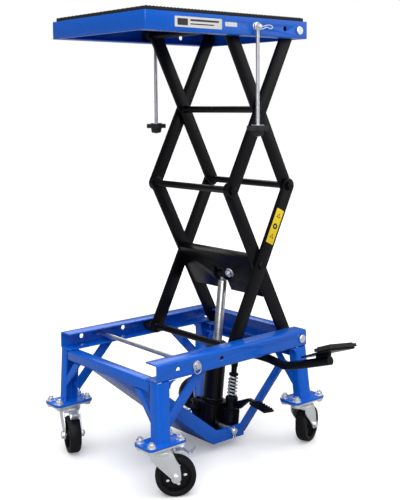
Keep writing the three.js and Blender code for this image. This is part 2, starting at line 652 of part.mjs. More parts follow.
// Platform: a shallow steel pan turned upside down, with a return flange round its lower edge.
function platformPan() {
  const bottom = PLATFORM_TOP - PLATFORM_SKIRT;
  const outer = extrude(roundedRectangle(PLATFORM_HALF_LENGTH, PLATFORM_HALF_WIDTH, 5), PLATFORM_SKIRT, 3)
    .translate(PLATFORM_X, 0, bottom);
  const innerLength = PLATFORM_HALF_LENGTH - PLATFORM_SHEET;
  const innerWidth = PLATFORM_HALF_WIDTH - PLATFORM_SHEET;
  const hollow = extrude(roundedRectangle(innerLength, innerWidth, 2),
    PLATFORM_SKIRT - 2 * PLATFORM_SHEET, 2).translate(PLATFORM_X, 0, bottom + PLATFORM_SHEET);
  const mouth = extrude(roundedRectangle(PLATFORM_HALF_LENGTH - 7, ARM_OUTER_Y + 8, 4), 3 * PLATFORM_SHEET, 2)
    .translate(PLATFORM_X, 0, bottom - PLATFORM_SHEET);
  const pivotHole = bar('y', PIN_RADIUS + GAP, TOP_PIVOT[0], 0, TOP_PIVOT[1], 200, 200);
  const sideHole = (radius, x, side) =>
    bar('y', radius, x, side * PLATFORM_HALF_WIDTH, TIE_PIN_Z, 6, 6, 12);
  const spare = [sideHole(5, 140, -1), sideHole(5, 122, 1)];
  const tiePins = [sideHole(4.3, TIE_ROD_X, -1), sideHole(4.3, TIE_ROD_X, 1)];
  return cut(outer, hollow, mouth, pivotHole, ...spare, ...tiePins);
}
addPart('platform_pan', platformPan(), bluePaint);
addPart('platform_mat', extrude(
  roundedRectangle(PLATFORM_HALF_LENGTH - MAT_INSET, PLATFORM_HALF_WIDTH - MAT_INSET, 6), MAT_THICK, 3,
).translate(PLATFORM_X, 0, PLATFORM_TOP + GAP), rubber);

// Hold-down rod: an eye on a pin through the skirt, a straight shank and a threaded lower end.
function tieRod() {
  const eye = 8.5;
  const loop = cut(
    bar('y', eye, TIE_ROD_X, -TIE_ROD_Y, TIE_PIN_Z, 3, 3, 14),
    bar('y', 4.3, TIE_ROD_X, -TIE_ROD_Y, TIE_PIN_Z, 8, 8, 10),
  );
  const shank = bar('z', TIE_ROD_RADIUS, TIE_ROD_X, -TIE_ROD_Y, TIE_PIN_Z - 5.5,
    TIE_PIN_Z - 5.5 - TIE_ROD_BOTTOM, 0, 8);
  const washer = bar('z', 12.5, TIE_ROD_X, -TIE_ROD_Y, KNOB_TOP + 0.5, 0, 2, 14);
  return join(loop, shank, washer);
}

// Pin that the rod hangs on, with a head inside the skirt, a washer outside and a spring clip.
function tiePin() {
  const y = -PLATFORM_HALF_WIDTH;
  const shaft = bar('y', 3.8, TIE_ROD_X, y, TIE_PIN_Z, 17, 5, 8);
  const head = bar('y', 8, TIE_ROD_X, y, TIE_PIN_Z, -SHEET - GAP, SHEET + 3, 10);
  const collar = bar('y', 8, TIE_ROD_X, y, TIE_PIN_Z, 3.4, -GAP, 10);
  const clip = bar('x', 1.5, TIE_ROD_X, y - 14, TIE_PIN_Z, 10, 34, 4);
  return join(shaft, head, collar, clip);
}

// Clamping knob: a lobed plastic head with a hub below it.
function tieKnob() {
  const lobes = 6;
  const shape = new THREE.Shape();
  const steps = 30;
  for (let i = 0; i < steps; i += 1) {
    const angle = (i / steps) * 2 * Math.PI;
    const radius = 20 + 2.2 * Math.cos(lobes * angle);
    if (i === 0) shape.moveTo(radius * Math.cos(angle), radius * Math.sin(angle));
    else shape.lineTo(radius * Math.cos(angle), radius * Math.sin(angle));
  }
  const head = extrude(shape, 9).translate(0, 0, KNOB_TOP - 9);
  const hub = lathe([[0, -19.5], [9, -19.5], [10.5, -18], [12, -8], [0, -8]], 12).translate(0, 0, KNOB_TOP);
  const bore = bar('z', TIE_ROD_RADIUS + GAP, 0, 0, KNOB_TOP, 40, 20, 10);
  return cut(join(head, hub), bore).translate(TIE_ROD_X, -TIE_ROD_Y, 0);
}

for (const [sideName, side] of SIDES) {
  addPart(`tie_rod_${sideName}`, onSide(side, tieRod()), steelRod);
  addPart(`tie_pin_${sideName}`, onSide(side, tiePin()), zinc);
  addPart(`tie_knob_${sideName}`, onSide(side, tieKnob()), blackPlastic);
}

// ---------------------------------------------------------------- jack

// The jack is drawn upright, with the Z axis along its ram and its base pin on the Y axis.
const jack = new THREE.Group();
jack.position.set(JACK_PIN.x, 0, JACK_PIN.z);
jack.rotation.y = JACK_TILT;
table.add(jack);

const BLOCK_TOP = 46;
const PUMP_TOP = 64;
const SPRING_TOP = 107;

// Cast base: a rounded block bored for the base pin, with the pump barrel and the valve boss.
function jackBase() {
  const block = extrude(roundedRectangle(32, 32, 9), BLOCK_TOP + 9, 4).translate(0, 0, -9);
  const pumpFoot = box(PUMP.x - 15, PUMP.x + 15, PUMP.y - 13, -20, -9, BLOCK_TOP - 8);
  const barrel = bar('z', 12, PUMP.x, PUMP.y, 0, 0, PUMP_TOP, 16);
  const valve = bar('x', 8, -31, 6, 30, 14, 6, 12);
  const valveCap = nut('x', 9.5, -45, 6, 30, 6, 2);
  const pinBore = bar('y', PIN_RADIUS + GAP, 0, 0, 0, 80, 80);
  const plungerBore = bar('z', 6.4, PUMP.x, PUMP.y, PUMP_TOP, 40, 5, 16);
  const seat = bar('z', CYLINDER_RADIUS + GAP, 0, 0, BLOCK_TOP, 5, 5, 20);
  const pedalSlot = box(PUMP.x - 5.5, PUMP.x + 5.5, -100, PUMP.y - 9, 28, PUMP_TOP);
  return cut(join(block, pumpFoot, barrel, valve, valveCap), pinBore, plungerBore, seat, pedalSlot);
}

// Cylinder: a tube with a ribbed gland cap, bored for the ram, with the lever's fulcrum lug.
function jackCylinder() {
  const foot = BLOCK_TOP - 5 + GAP;
  const tube = lathe([
    [0, foot], [CYLINDER_RADIUS, foot], [CYLINDER_RADIUS, CYLINDER_TOP - 14],
    [CYLINDER_RADIUS - 2, CYLINDER_TOP - 12],
    [CYLINDER_RADIUS - 2, CYLINDER_TOP - 3], [CYLINDER_RADIUS - 5, CYLINDER_TOP], [0, CYLINDER_TOP],
  ], 20);
  const lug = plateYZ(link([-14, FULCRUM.z], [FULCRUM.y, FULCRUM.z], 14, []), PUMP.x - 4, 8, 5);
  const bore = bar('z', RAM_RADIUS + GAP, 0, 0, CYLINDER_TOP, CYLINDER_TOP - 52, 5, 16);
  const lugHole = bar('x', 3.4, PUMP.x, FULCRUM.y, FULCRUM.z, 8, 8, 12);
  return cut(join(tube, lug), bore, lugHole);
}

function jackRam() {
  const rod = bar('z', RAM_RADIUS, 0, 0, 100, 0, JACK_LENGTH - 100 - 6, 16);
  const neck = bar('z', 5.5, 0, 0, JACK_LENGTH - 8, 4, 6, 14);
  const eye = bar('y', 9.5, 0, 0, JACK_LENGTH, 9, 9, 16);
  const bore = bar('y', 5 + 1.6, 0, 0, JACK_LENGTH, 12, 12, 16);
  return cut(join(rod, neck, eye), bore);
}

// Pump plunger: a rod with a spring collar and a flat eye for the lever's pin.
function pumpPlunger() {
  const rod = bar('z', 6, PUMP.x, PUMP.y, PUMP_TOP - 20, 0, FULCRUM.z - PUMP_TOP + 9, 14);
  const collar = bar('z', 10, PUMP.x, PUMP.y, SPRING_TOP + GAP, 0, 5, 18);
  const eye = plateYZ(link([PUMP.y, FULCRUM.z - 14], [PUMP.y, FULCRUM.z], 13, []), PUMP.x - 4, 8, 5);
  const slot = plateYZ(link([PUMP.y - 0.4, FULCRUM.z], [PUMP.y + 0.8, FULCRUM.z], 7, []), PUMP.x - 9, 18, 5);
  return cut(join(rod, collar, eye), slot);
}

class Helix extends THREE.Curve {
  constructor(radius, pitch, turns) {
    super();
    this.radius = radius;
    this.pitch = pitch;
    this.turns = turns;
  }

  getPoint(t, target = new THREE.Vector3()) {
    const angle = 2 * Math.PI * this.turns * t;
    const height = this.pitch * this.turns * t;
    return target.set(this.radius * Math.cos(angle), this.radius * Math.sin(angle), height);
  }
}

// Return spring round the plunger, between the barrel and the collar.
function pumpSpring() {
  const wire = 1.5;
  const turns = 4.5;
  const pitch = (SPRING_TOP - PUMP_TOP - 2 * (wire + GAP)) / turns;
  return tubeAlong(new Helix(8.4, pitch, turns), wire, 44, 4)
    .translate(PUMP.x, PUMP.y, PUMP_TOP + wire + GAP);
}

// Pump lever: two cheeks on the fulcrum, a bent tube that dips under the side rail, and a foot plate.
const LEVER_RADIUS = 8.5;
const PEDAL_ANGLE = THREE.MathUtils.degToRad(21);
const PEDAL_START = { y: -236, z: 184 };
function pumpLever() {
  const x = PUMP.x;
  const path = smoothCurve([
    [x, -58, 152], [x, -96, 162], [x, -138, 163.5], [x, -172, 160.5], [x, -196, 160.5], [x, -250, 176.5],
    [x, -304, 194],
  ]);
  const tube = tubeAlong(path, LEVER_RADIUS, 16, 8);
  const pieces = [tube];
  const cheek = outline(
    [FULCRUM.y + 6.5, FULCRUM.z - 6], [FULCRUM.y + 6.5, FULCRUM.z + 6],
    [FULCRUM.y - 4, FULCRUM.z + 9], [-64, 162],
    [-66, 146], [PUMP.y - 8, FULCRUM.z - 7], [FULCRUM.y, FULCRUM.z - 7],
  );
  for (const side of [x - 8.5, x + 5]) {
    pieces.push(plateYZ(cheek, side, 3.5));
  }
  pieces.push(bar('x', 3, x, FULCRUM.y, FULCRUM.z, 8, 8, 10));
  pieces.push(bar('x', 3, x, PUMP.y, FULCRUM.z, 8, 8, 10));
  const plate = extrude(outline([-13, 0], [13, 0], [36, -76], [36, -96], [-36, -96], [-36, -76]), 3.5);
  plate.rotateX(-PEDAL_ANGLE).translate(x + 6, PEDAL_START.y, PEDAL_START.z);
  pieces.push(plate);
  pieces.push(plateYZ(outline([-270, 178], [-302, 188], [-302, 211], [-270, 199]), x - 4, 8));
  return join(...pieces);
}

// Ribbed rubber pad on the foot plate.
function pedalPad() {
  const body = extrude(roundedRectangle(38, 22, 4), 6, 3);
  const ribs = [-14, -5, 4, 13].map((v) => box(-34, 34, v - 2, v + 2, 5, 8.5));
  return join(body, ...ribs)
    .translate(0, -80, 3.5 + GAP)
    .rotateX(-PEDAL_ANGLE)
    .translate(PUMP.x + 6, PEDAL_START.y, PEDAL_START.z);
}

// Release pedal: a neck hinged in the pump barrel's slot and a ribbed tread.
const RELEASE = { y: -66, z: 50 };
function releasePedal() {
  const x = PUMP.x;
  const neck = plateYZ(outline(
    [RELEASE.y + 6, RELEASE.z - 6], [RELEASE.y + 6, RELEASE.z + 6],
    [-98, 72], [-118, 69], [-118, 65], [-98, 66],
    [RELEASE.y - 8, RELEASE.z - 6],
  ), x - 5, 10);
  const tread = box(x - 14, x + 14, -158, -112, 64, 69);
  const ribs = [-152, -144, -136, -128, -120].map((y) => box(x - 12, x + 12, y - 1.6, y + 1.6, 68, 71.5));
  const slope = new THREE.Matrix4().makeTranslation(0, -112, 66)
    .multiply(new THREE.Matrix4().makeRotationX(THREE.MathUtils.degToRad(9)))
    .multiply(new THREE.Matrix4().makeTranslation(0, 112, -66));
  return join(neck, join(tread, ...ribs).applyMatrix4(slope));
}

addPart('jack_base', jackBase(), blackPaint, jack);
addPart('jack_cylinder', jackCylinder(), blackPaint, jack);
addPart('jack_ram', jackRam(), chrome, jack);
addPart('pump_plunger', pumpPlunger(), steelRod, jack);
addPart('pump_spring', pumpSpring(), steelRod, jack);
addPart('pump_lever', pumpLever(), blackPaint, jack);
addPart('pump_pedal_pad', pedalPad(), rubber, jack);
addPart('release_pedal', releasePedal(), blackPaint, jack);

// ---------------------------------------------------------------- origin at the bottom centre

table.updateMatrixWorld(true);
const bounds = new THREE.Box3().setFromObject(table, true);
const centre = bounds.getCenter(new THREE.Vector3());
table.position.set(-centre.x, -centre.y, -bounds.min.z);
table.updateMatrixWorld(true);

export default table;
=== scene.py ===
"""Finished look of a foot-pumped scissor lift table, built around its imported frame.

Every shape is drawn in millimetres in the frame of the piece it belongs to, then placed by a
matrix that comes from the frame's joints and boxes, so a mesh holds its own place in metres.
"""

import json
import logging
import math
from dataclasses import dataclass
from enum import Enum

import bmesh
import bpy
from mathutils import Matrix, Vector
from mathutils.geometry import tessellate_polygon


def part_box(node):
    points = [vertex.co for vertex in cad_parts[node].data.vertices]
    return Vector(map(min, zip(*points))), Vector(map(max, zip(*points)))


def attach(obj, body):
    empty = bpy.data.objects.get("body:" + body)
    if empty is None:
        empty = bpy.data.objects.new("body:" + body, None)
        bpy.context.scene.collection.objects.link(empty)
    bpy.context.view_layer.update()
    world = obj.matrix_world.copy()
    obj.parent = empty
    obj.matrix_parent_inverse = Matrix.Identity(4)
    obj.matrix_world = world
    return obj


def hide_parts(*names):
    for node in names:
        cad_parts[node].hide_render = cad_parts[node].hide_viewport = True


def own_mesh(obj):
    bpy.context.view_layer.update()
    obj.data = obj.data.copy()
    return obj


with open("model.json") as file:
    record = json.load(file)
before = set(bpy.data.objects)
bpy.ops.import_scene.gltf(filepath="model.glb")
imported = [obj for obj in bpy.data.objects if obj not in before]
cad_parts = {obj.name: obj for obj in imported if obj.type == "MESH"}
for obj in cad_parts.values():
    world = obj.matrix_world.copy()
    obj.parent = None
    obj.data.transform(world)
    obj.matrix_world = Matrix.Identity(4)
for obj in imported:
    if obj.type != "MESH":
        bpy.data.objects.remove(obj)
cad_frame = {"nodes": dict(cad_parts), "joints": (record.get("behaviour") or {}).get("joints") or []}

log = logging.getLogger("lift_table")

MM = 0.001
TURN = 2 * math.pi
SMOOTH_ANGLE = math.radians(34)

# Sockets of a colour Mix node, which repeats its names for each kind of value.
MIX_FACTOR, MIX_FIRST, MIX_SECOND = 0, 6, 7

Point2 = tuple[float, float]
Point3 = tuple[float, float, float]


class Side(Enum):
    """The two long sides of the table; the value is the sign of Y."""

    NEAR = -1
    FAR = 1

    @property
    def label(self) -> str:
        """The side's word in node names."""
        return self.name.lower()


# ---------------------------------------------------------------- shaping


class Shape:
    """A closed mesh under construction, in millimetres."""

    def __init__(self) -> None:
        """Starts an empty mesh."""
        self.bm = bmesh.new()

    def add(self, other: "Shape", place: Matrix | None = None) -> "Shape":
        """Moves another shape's faces into this one.

        Args:
            other: the shape to take; it is freed.
            place: where it goes, or None for as it is.

        Returns:
            This shape.
        """
        mesh = bpy.data.meshes.new("part")
        other.bm.to_mesh(mesh)
        other.bm.free()
        if place is not None:
            mesh.transform(place)
            if place.determinant() < 0:
                mesh.flip_normals()
        self.bm.from_mesh(mesh)
        bpy.data.meshes.remove(mesh)
        return self

    def moved(self, place: Matrix) -> "Shape":
        """Moves the shape by a matrix and returns it."""
        bmesh.ops.transform(self.bm, matrix=place, verts=self.bm.verts)
        if place.determinant() < 0:
            bmesh.ops.reverse_faces(self.bm, faces=self.bm.faces)
        return self

    def softened(self, width: float, segments: int = 2, angle: float = 32.0) -> "Shape":
        """Rounds every edge sharper than an angle.

        Args:
            width: the width of the rounding, in millimetres.
            segments: how many steps round it.
            angle: the least angle between faces, in degrees.

        Returns:
            This shape.
        """
        limit = math.radians(angle)
        edges = [e for e in self.bm.edges if len(e.link_faces) == 2 and e.calc_face_angle(0) > limit]
        bmesh.ops.bevel(
            self.bm, geom=edges, offset=width, segments=segments, profile=0.5, affect="EDGES",
            clamp_overlap=True,
        )
        return self

    @staticmethod
    def plate(outer: list[Point2], holes: list[list[Point2]], low: float, high: float,
              edge: float = 0.5) -> "Shape":
        """A flat plate in the XY plane with holes and rounded rims.

        Args:
            outer: the outline, in either direction.
            holes: outlines of holes.
            low: height of the lower face.
            high: height of the upper face.
            edge: rounding of the rims, 0 for sharp ones.

        Returns:
            The plate.
        """
        shape = Shape()
        bm = shape.bm
        loops = [outer, *holes]
        flat = [Vector((x, y, 0.0)) for loop in loops for x, y in loop]
        fans = tessellate_polygon([[Vector((x, y, 0.0)) for x, y in loop] for loop in loops])
        layers = [[bm.verts.new((p.x, p.y, z)) for p in flat] for z in (low, high)]
        for a, b, c in fans:
            up = (flat[b] - flat[a]).cross(flat[c] - flat[a]).z > 0
            top = (a, b, c) if up else (c, b, a)
            bm.faces.new([layers[1][i] for i in top])
            bm.faces.new([layers[0][i] for i in reversed(top)])
        start = 0
        for loop in loops:
            count = len(loop)
            for i in range(count):
                j = (i + 1) % count
                bm.faces.new([layers[0][start + i], layers[0][start + j],
                              layers[1][start + j], layers[1][start + i]])
            start += count
        bmesh.ops.recalc_face_normals(bm, faces=bm.faces)
        if edge > 0:
            rims = [e for e in bm.edges if len(e.link_faces) == 2
                    and e.calc_face_angle(0) > math.radians(60)
                    and abs(e.verts[0].co.z - e.verts[1].co.z) < 1e-6]
            bmesh.ops.bevel(bm, geom=rims, offset=edge, segments=2, profile=0.5, affect="EDGES",
                            clamp_overlap=True)
        return shape

    @staticmethod
    def lathe(profile: list[Point2], segments: int = 48) -> "Shape":
        """A body turned about Z from a profile of (radius, height), listed so that it closes.

        Args:
            profile: points from bottom to top; a point on the axis closes the end, and a profile
                that never meets the axis is closed into a ring.
            segments: steps round the axis.

        Returns:
            The turned body.
        """
        shape = Shape()
        bm = shape.bm
        rings: list[list] = []
        for radius, height in profile:
            if radius < 1e-6:
                rings.append([bm.verts.new((0, 0, height))])
            else:
                rings.append([
                    bm.verts.new((radius * math.cos(TURN * i / segments),
                                  radius * math.sin(TURN * i / segments), height))
                    for i in range(segments)
                ])
        pairs = list(zip(rings, rings[1:]))
        if len(rings[0]) > 1 and len(rings[-1]) > 1:
            pairs.append((rings[-1], rings[0]))
        for low, high in pairs:
            for i in range(segments):
                j = (i + 1) % segments
                if len(low) == 1 and len(high) == 1:
                    continue
                if len(low) == 1:
                    bm.faces.new([low[0], high[j], high[i]])
                elif len(high) == 1:
                    bm.faces.new([low[i], low[j], high[0]])
                else:
                    bm.faces.new([low[i], low[j], high[j], high[i]])
        bmesh.ops.recalc_face_normals(bm, faces=bm.faces)
        return shape

    @staticmethod
    def sweep(path: list[Point3], radius: float, segments: int = 16, closed: bool = False) -> "Shape":
        """A round bar or wire along a path.

        Args:
            path: the points of the centre line.
            radius: the bar's radius.
            segments: steps round the bar.
            closed: True for a ring.

        Returns:
            The bar, with closed ends.
        """
        shape = Shape()
        bm = shape.bm
        points = [Vector(p) for p in path]
        count = len(points)
        tangents = []
        for i in range(count):
            before = points[(i - 1) % count] if closed or i > 0 else points[i]
            after = points[(i + 1) % count] if closed or i < count - 1 else points[i]
            tangents.append((after - before).normalized())
        normal = tangents[0].orthogonal().normalized()
        rings = []
        for point, tangent in zip(points, tangents):
            normal = (normal - tangent * normal.dot(tangent)).normalized()
            across = tangent.cross(normal)
            rings.append([
                bm.verts.new(point + radius * (normal * math.cos(TURN * k / segments)
                                               + across * math.sin(TURN * k / segments)))
                for k in range(segments)
            ])
        last = count if closed else count - 1
        for i in range(last):
            low, high = rings[i], rings[(i + 1) % count]
            for k in range(segments):
                m = (k + 1) % segments
                bm.faces.new([low[k], low[m], high[m], high[k]])
        if not closed:
            bm.faces.new(list(reversed(rings[0])))
            bm.faces.new(rings[-1])
        bmesh.ops.recalc_face_normals(bm, faces=bm.faces)
        return shape

    @staticmethod
    def block(low: Point3, high: Point3, edge: float = 0.6) -> "Shape":
        """A rectangular block between two corners with rounded edges."""
        shape = Shape()
        bmesh.ops.create_cube(shape.bm, size=1.0)
        size = [b - a for a, b in zip(low, high)]
        middle = [(a + b) / 2 for a, b in zip(low, high)]
        shape.moved(Matrix.Translation(middle) @ Matrix.Diagonal((*size, 1.0)))
        return shape.softened(edge) if edge > 0 else shape

    @staticmethod
    def round_bar(radius: float, low: float, high: float, chamfer: float = 0.6,
                  segments: int = 32) -> "Shape":
        """A round bar along Z with chamfered ends."""
        return Shape.lathe([
            (0, low), (radius - chamfer, low), (radius, low + chamfer),
            (radius, high - chamfer), (radius - chamfer, high), (0, high),
        ], segments)

    @staticmethod
    def hexagon(across: float, low: float, high: float) -> "Shape":
        """A hexagon head or nut along Z with softened corners."""
        corner = across / math.sqrt(3)
        ring = [(corner * math.cos(TURN * i / 6), corner * math.sin(TURN * i / 6)) for i in range(6)]
        return Shape.plate(ring, [], low, high, 0.7).softened(0.35, 1, 50)

    @staticmethod
    def from_node(node: str, edge: float) -> "Shape":
        """A copy of a frame node with its doubles merged, its flats joined and its edges rounded.

        Args:
            node: the frame node to copy.
            edge: the rounding of its edges, in millimetres.

        Returns:
            The copy, in millimetres.
        """
        shape = Shape()
        shape.bm.from_mesh(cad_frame["nodes"][node].data)
        bm = shape.bm
        bmesh.ops.scale(bm, vec=(1 / MM,) * 3, verts=bm.verts)
        bmesh.ops.remove_doubles(bm, verts=bm.verts, dist=0.004)
        bmesh.ops.dissolve_limit(bm, angle_limit=math.radians(0.6), verts=bm.verts, edges=bm.edges)
        return shape.softened(edge, 2, 28) if edge > 0 else shape


def circle(x: float, y: float, radius: float, steps: int = 24) -> list[Point2]:
    """Points of a circle."""
    return [(x + radius * math.cos(TURN * i / steps), y + radius * math.sin(TURN * i / steps))
            for i in range(steps)]


def rounded_rectangle(half_x: float, half_y: float, radius: float, steps: int = 6) -> list[Point2]:
    """Points of a rectangle with round corners, centred on the origin."""
    points: list[Point2] = []
    for sx, sy, start in ((1, 1, 0), (-1, 1, 1), (-1, -1, 2), (1, -1, 3)):
        for i in range(steps + 1):
            angle = (start + i / steps) * math.pi / 2
            points.append((sx * (half_x - radius) + radius * math.cos(angle),
                           sy * (half_y - radius) + radius * math.sin(angle)))
    return points


def rounded_link(a: Point2, b: Point2, half_width: float, steps: int = 14) -> list[Point2]:
    """Outline of a flat bar with round ends between two points."""
    angle = math.atan2(b[1] - a[1], b[0] - a[0])
    points: list[Point2] = []
    for centre, start in ((b, angle - math.pi / 2), (a, angle + math.pi / 2)):
        for i in range(steps + 1):
            t = start + math.pi * i / steps
            points.append((centre[0] + half_width * math.cos(t), centre[1] + half_width * math.sin(t)))
    return points


def smooth_path(points: list[Point3], steps: int = 10) -> list[Point3]:
    """A smooth path through some points.

    Args:
        points: the points to pass through.
        steps: how many pieces each span is cut into.

    Returns:
        The points of the path.
    """
    ps = [Vector(p) for p in points]
    ps = [ps[0] * 2 - ps[1], *ps, ps[-1] * 2 - ps[-2]]
    path: list[Point3] = []
    for i in range(1, len(ps) - 2):
        a, b, c, d = ps[i - 1:i + 3]
        for k in range(steps):
            t = k / steps
            path.append(tuple(0.5 * (2 * b + (c - a) * t + (2 * a - 5 * b + 4 * c - d) * t * t
                                     + (3 * b - a - 3 * c + d) * t ** 3)))
    path.append(tuple(ps[-2]))
    return path


# Planes that plates are drawn in: XY turned to stand on XZ or YZ.
ON_XZ = Matrix(((1, 0, 0, 0), (0, 0, -1, 0), (0, 1, 0, 0), (0, 0, 0, 1)))
ON_YZ = Matrix(((0, 0, 1, 0), (1, 0, 0, 0), (0, 1, 0, 0), (0, 0, 0, 1)))
MIRROR_Y = Matrix.Diagonal((1, -1, 1, 1))


def along_y(x: float, z: float) -> Matrix:
    """Turns a body drawn along Z to lie along +Y at a place in the XZ plane."""
    return Matrix.Translation((x, 0, z)) @ Matrix.Rotation(-math.pi / 2, 4, "X")


def along_x(y: float, z: float) -> Matrix:
    """Turns a body drawn along Z to lie along +X at a place in the YZ plane."""
    return Matrix.Translation((0, y, z)) @ Matrix.Rotation(math.pi / 2, 4, "Y")


# ---------------------------------------------------------------- finishes


class NodeGraph:
    """A thin hand on a node tree: makes nodes, sets their sockets and links them."""

    def __init__(self, tree: bpy.types.NodeTree) -> None:
        """Takes the tree to work on."""
        self.tree = tree

    def add(self, kind: str, values: dict | None = None, **attributes: object) -> bpy.types.Node:
        """Makes a node.

        Args:
            kind: the node's type name.
            values: socket values by name or index.
            attributes: node attributes to set.

        Returns:
            The node.
        """
        node = self.tree.nodes.new(kind)
        for key, value in attributes.items():
            setattr(node, key, value)
        for key, value in (values or {}).items():
            node.inputs[key].default_value = value
        return node

    def link(self, source: bpy.types.NodeSocket, target: bpy.types.NodeSocket) -> None:
        """Joins an output to an input."""
        self.tree.links.new(source, target)


class Finish:
    """Base of the finishes: makes a material once and keeps it."""

    title: str

    def material(self) -> bpy.types.Material:
        """Returns the material, made on first use."""
        made = bpy.data.materials.get(self.title)
        if made is None:
            made = bpy.data.materials.new(self.title)
            made.use_nodes = True
            graph = NodeGraph(made.node_tree)
            self.build(graph, made.node_tree.nodes["Principled BSDF"])
        return made

    def build(self, graph: NodeGraph, shader: bpy.types.Node) -> None:
        """Adds this finish's nodes; each kind of finish has its own."""
        raise NotImplementedError

    @staticmethod
    def noise(graph: NodeGraph, scale: float, detail: float = 4.0, roughness: float = 0.55,
              stretch: Point3 | None = None) -> bpy.types.Node:
        """A noise on object coordinates, stretched if asked."""
        place = graph.add("ShaderNodeTexCoord")
        source = place.outputs["Object"]
        if stretch is not None:
            mapping = graph.add("ShaderNodeMapping", {"Scale": stretch})
            graph.link(source, mapping.inputs["Vector"])
            source = mapping.outputs["Vector"]
        noise = graph.add("ShaderNodeTexNoise", {
            "Scale": scale, "Detail": detail, "Roughness": roughness})
        graph.link(source, noise.inputs["Vector"])
        return noise

    @staticmethod
    def ramp(graph: NodeGraph, source: bpy.types.NodeSocket,
             stops: list[tuple[float, Point3]]) -> bpy.types.NodeSocket:
        """A colour ramp over a value; returns its colour."""
        node = graph.add("ShaderNodeValToRGB")
        elements = node.color_ramp.elements
        while len(elements) < len(stops):
            elements.new(0.5)
        for element, (position, colour) in zip(elements, stops):
            element.position = position
            element.color = (*colour, 1.0)
        graph.link(source, node.inputs["Fac"])
        return node.outputs["Color"]

    @staticmethod
    def bump(graph: NodeGraph, shader: bpy.types.Node, height: bpy.types.NodeSocket,
             distance: float, strength: float = 0.5) -> None:
        """Feeds a height into the shader's normal."""
        node = graph.add("ShaderNodeBump", {"Strength": strength, "Distance": distance})
        graph.link(height, node.inputs["Height"])
        graph.link(node.outputs["Normal"], shader.inputs["Normal"])

    @staticmethod
    def level(graph: NodeGraph, source: bpy.types.NodeSocket, low: float, high: float,
              start: float = 0.3, stop: float = 0.7) -> bpy.types.NodeSocket:
        """Maps a value from one range to another and clamps it."""
        node = graph.add("ShaderNodeMapRange", {
            "From Min": start, "From Max": stop, "To Min": low, "To Max": high})
        graph.link(source, node.inputs["Value"])
        return node.outputs["Result"]


def shade(colour: Point3, factor: float) -> Point3:
    """A colour made lighter or darker by a factor."""
    return tuple(min(1.0, c * factor) for c in colour)


@dataclass(frozen=True)
class PowderCoat(Finish):
    """Baked powder coat: orange peel, a faint mottle in the colour, and rubbed dull patches."""

    title: str
    colour: Point3
    rub: Point3
    roughness: float
    coat: float
    gloss: float
    peel: float

    def build(self, graph: NodeGraph, shader: bpy.types.Node) -> None:
        """Mottle and scuffs in the colour and roughness, fine peel in the normal."""
        shader.inputs["Coat Weight"].default_value = self.coat
        shader.inputs["Coat Roughness"].default_value = 0.12
        shader.inputs["Specular IOR Level"].default_value = self.gloss
        mottle = self.noise(graph, 7.0, 5.0)
        base = self.ramp(graph, mottle.outputs["Fac"], [
            (0.25, shade(self.colour, 0.92)), (0.5, self.colour), (0.78, shade(self.colour, 1.07))])
        scuff = self.noise(graph, 60.0, 9.0, 0.68, (1.0, 1.0, 0.45))
        worn = self.level(graph, scuff.outputs["Fac"], 0.0, 0.22, 0.7, 0.84)
        mix = graph.add("ShaderNodeMix", data_type="RGBA")
        mix.inputs[MIX_SECOND].default_value = (*self.rub, 1.0)
        graph.link(worn, mix.inputs[MIX_FACTOR])
        graph.link(base, mix.inputs[MIX_FIRST])
        graph.link(mix.outputs[2], shader.inputs["Base Color"])
        rough = self.level(
            graph, scuff.outputs["Fac"], self.roughness, self.roughness + 0.12, 0.55, 0.8)
        graph.link(rough, shader.inputs["Roughness"])
        peel = self.noise(graph, 520.0, 2.0)
        self.bump(graph, shader, peel.outputs["Fac"], self.peel)


@dataclass(frozen=True)
class Plating(Finish):
    """Bare or plated metal: a crystal mottle, draw marks along one axis and dull spots."""

    title: str
    colour: Point3
    roughness: float
    grain: Point3
    mottle: float

    def build(self, graph: NodeGraph, shader: bpy.types.Node) -> None:
        """Crystals in the colour, draw marks in the roughness and normal."""
        shader.inputs["Metallic"].default_value = 1.0
        place = graph.add("ShaderNodeTexCoord")
        crystals = graph.add("ShaderNodeTexVoronoi", {"Scale": 240.0, "Randomness": 1.0})
        graph.link(place.outputs["Object"], crystals.inputs["Vector"])
        split = graph.add("ShaderNodeSeparateColor")
        graph.link(crystals.outputs["Color"], split.inputs["Color"])
        tint = self.ramp(graph, split.outputs["Red"], [
            (0.0, shade(self.colour, 1.0 - self.mottle)), (1.0, self.colour)])
        cloud = self.noise(graph, 34.0, 6.0)
        stain = self.level(graph, cloud.outputs["Fac"], 0.0, 0.3, 0.56, 0.78)
        mix = graph.add("ShaderNodeMix", data_type="RGBA")
        mix.inputs[MIX_SECOND].default_value = (*shade(self.colour, 0.62), 1.0)
        graph.link(stain, mix.inputs[MIX_FACTOR])
        graph.link(tint, mix.inputs[MIX_FIRST])
        graph.link(mix.outputs[2], shader.inputs["Base Color"])
        marks = self.noise(graph, 90.0, 5.0, 0.6, self.grain)
        rough = self.level(graph, marks.outputs["Fac"], self.roughness - 0.07, self.roughness + 0.14)
        graph.link(rough, shader.inputs["Roughness"])
        self.bump(graph, shader, marks.outputs["Fac"], 0.00006, 0.35)


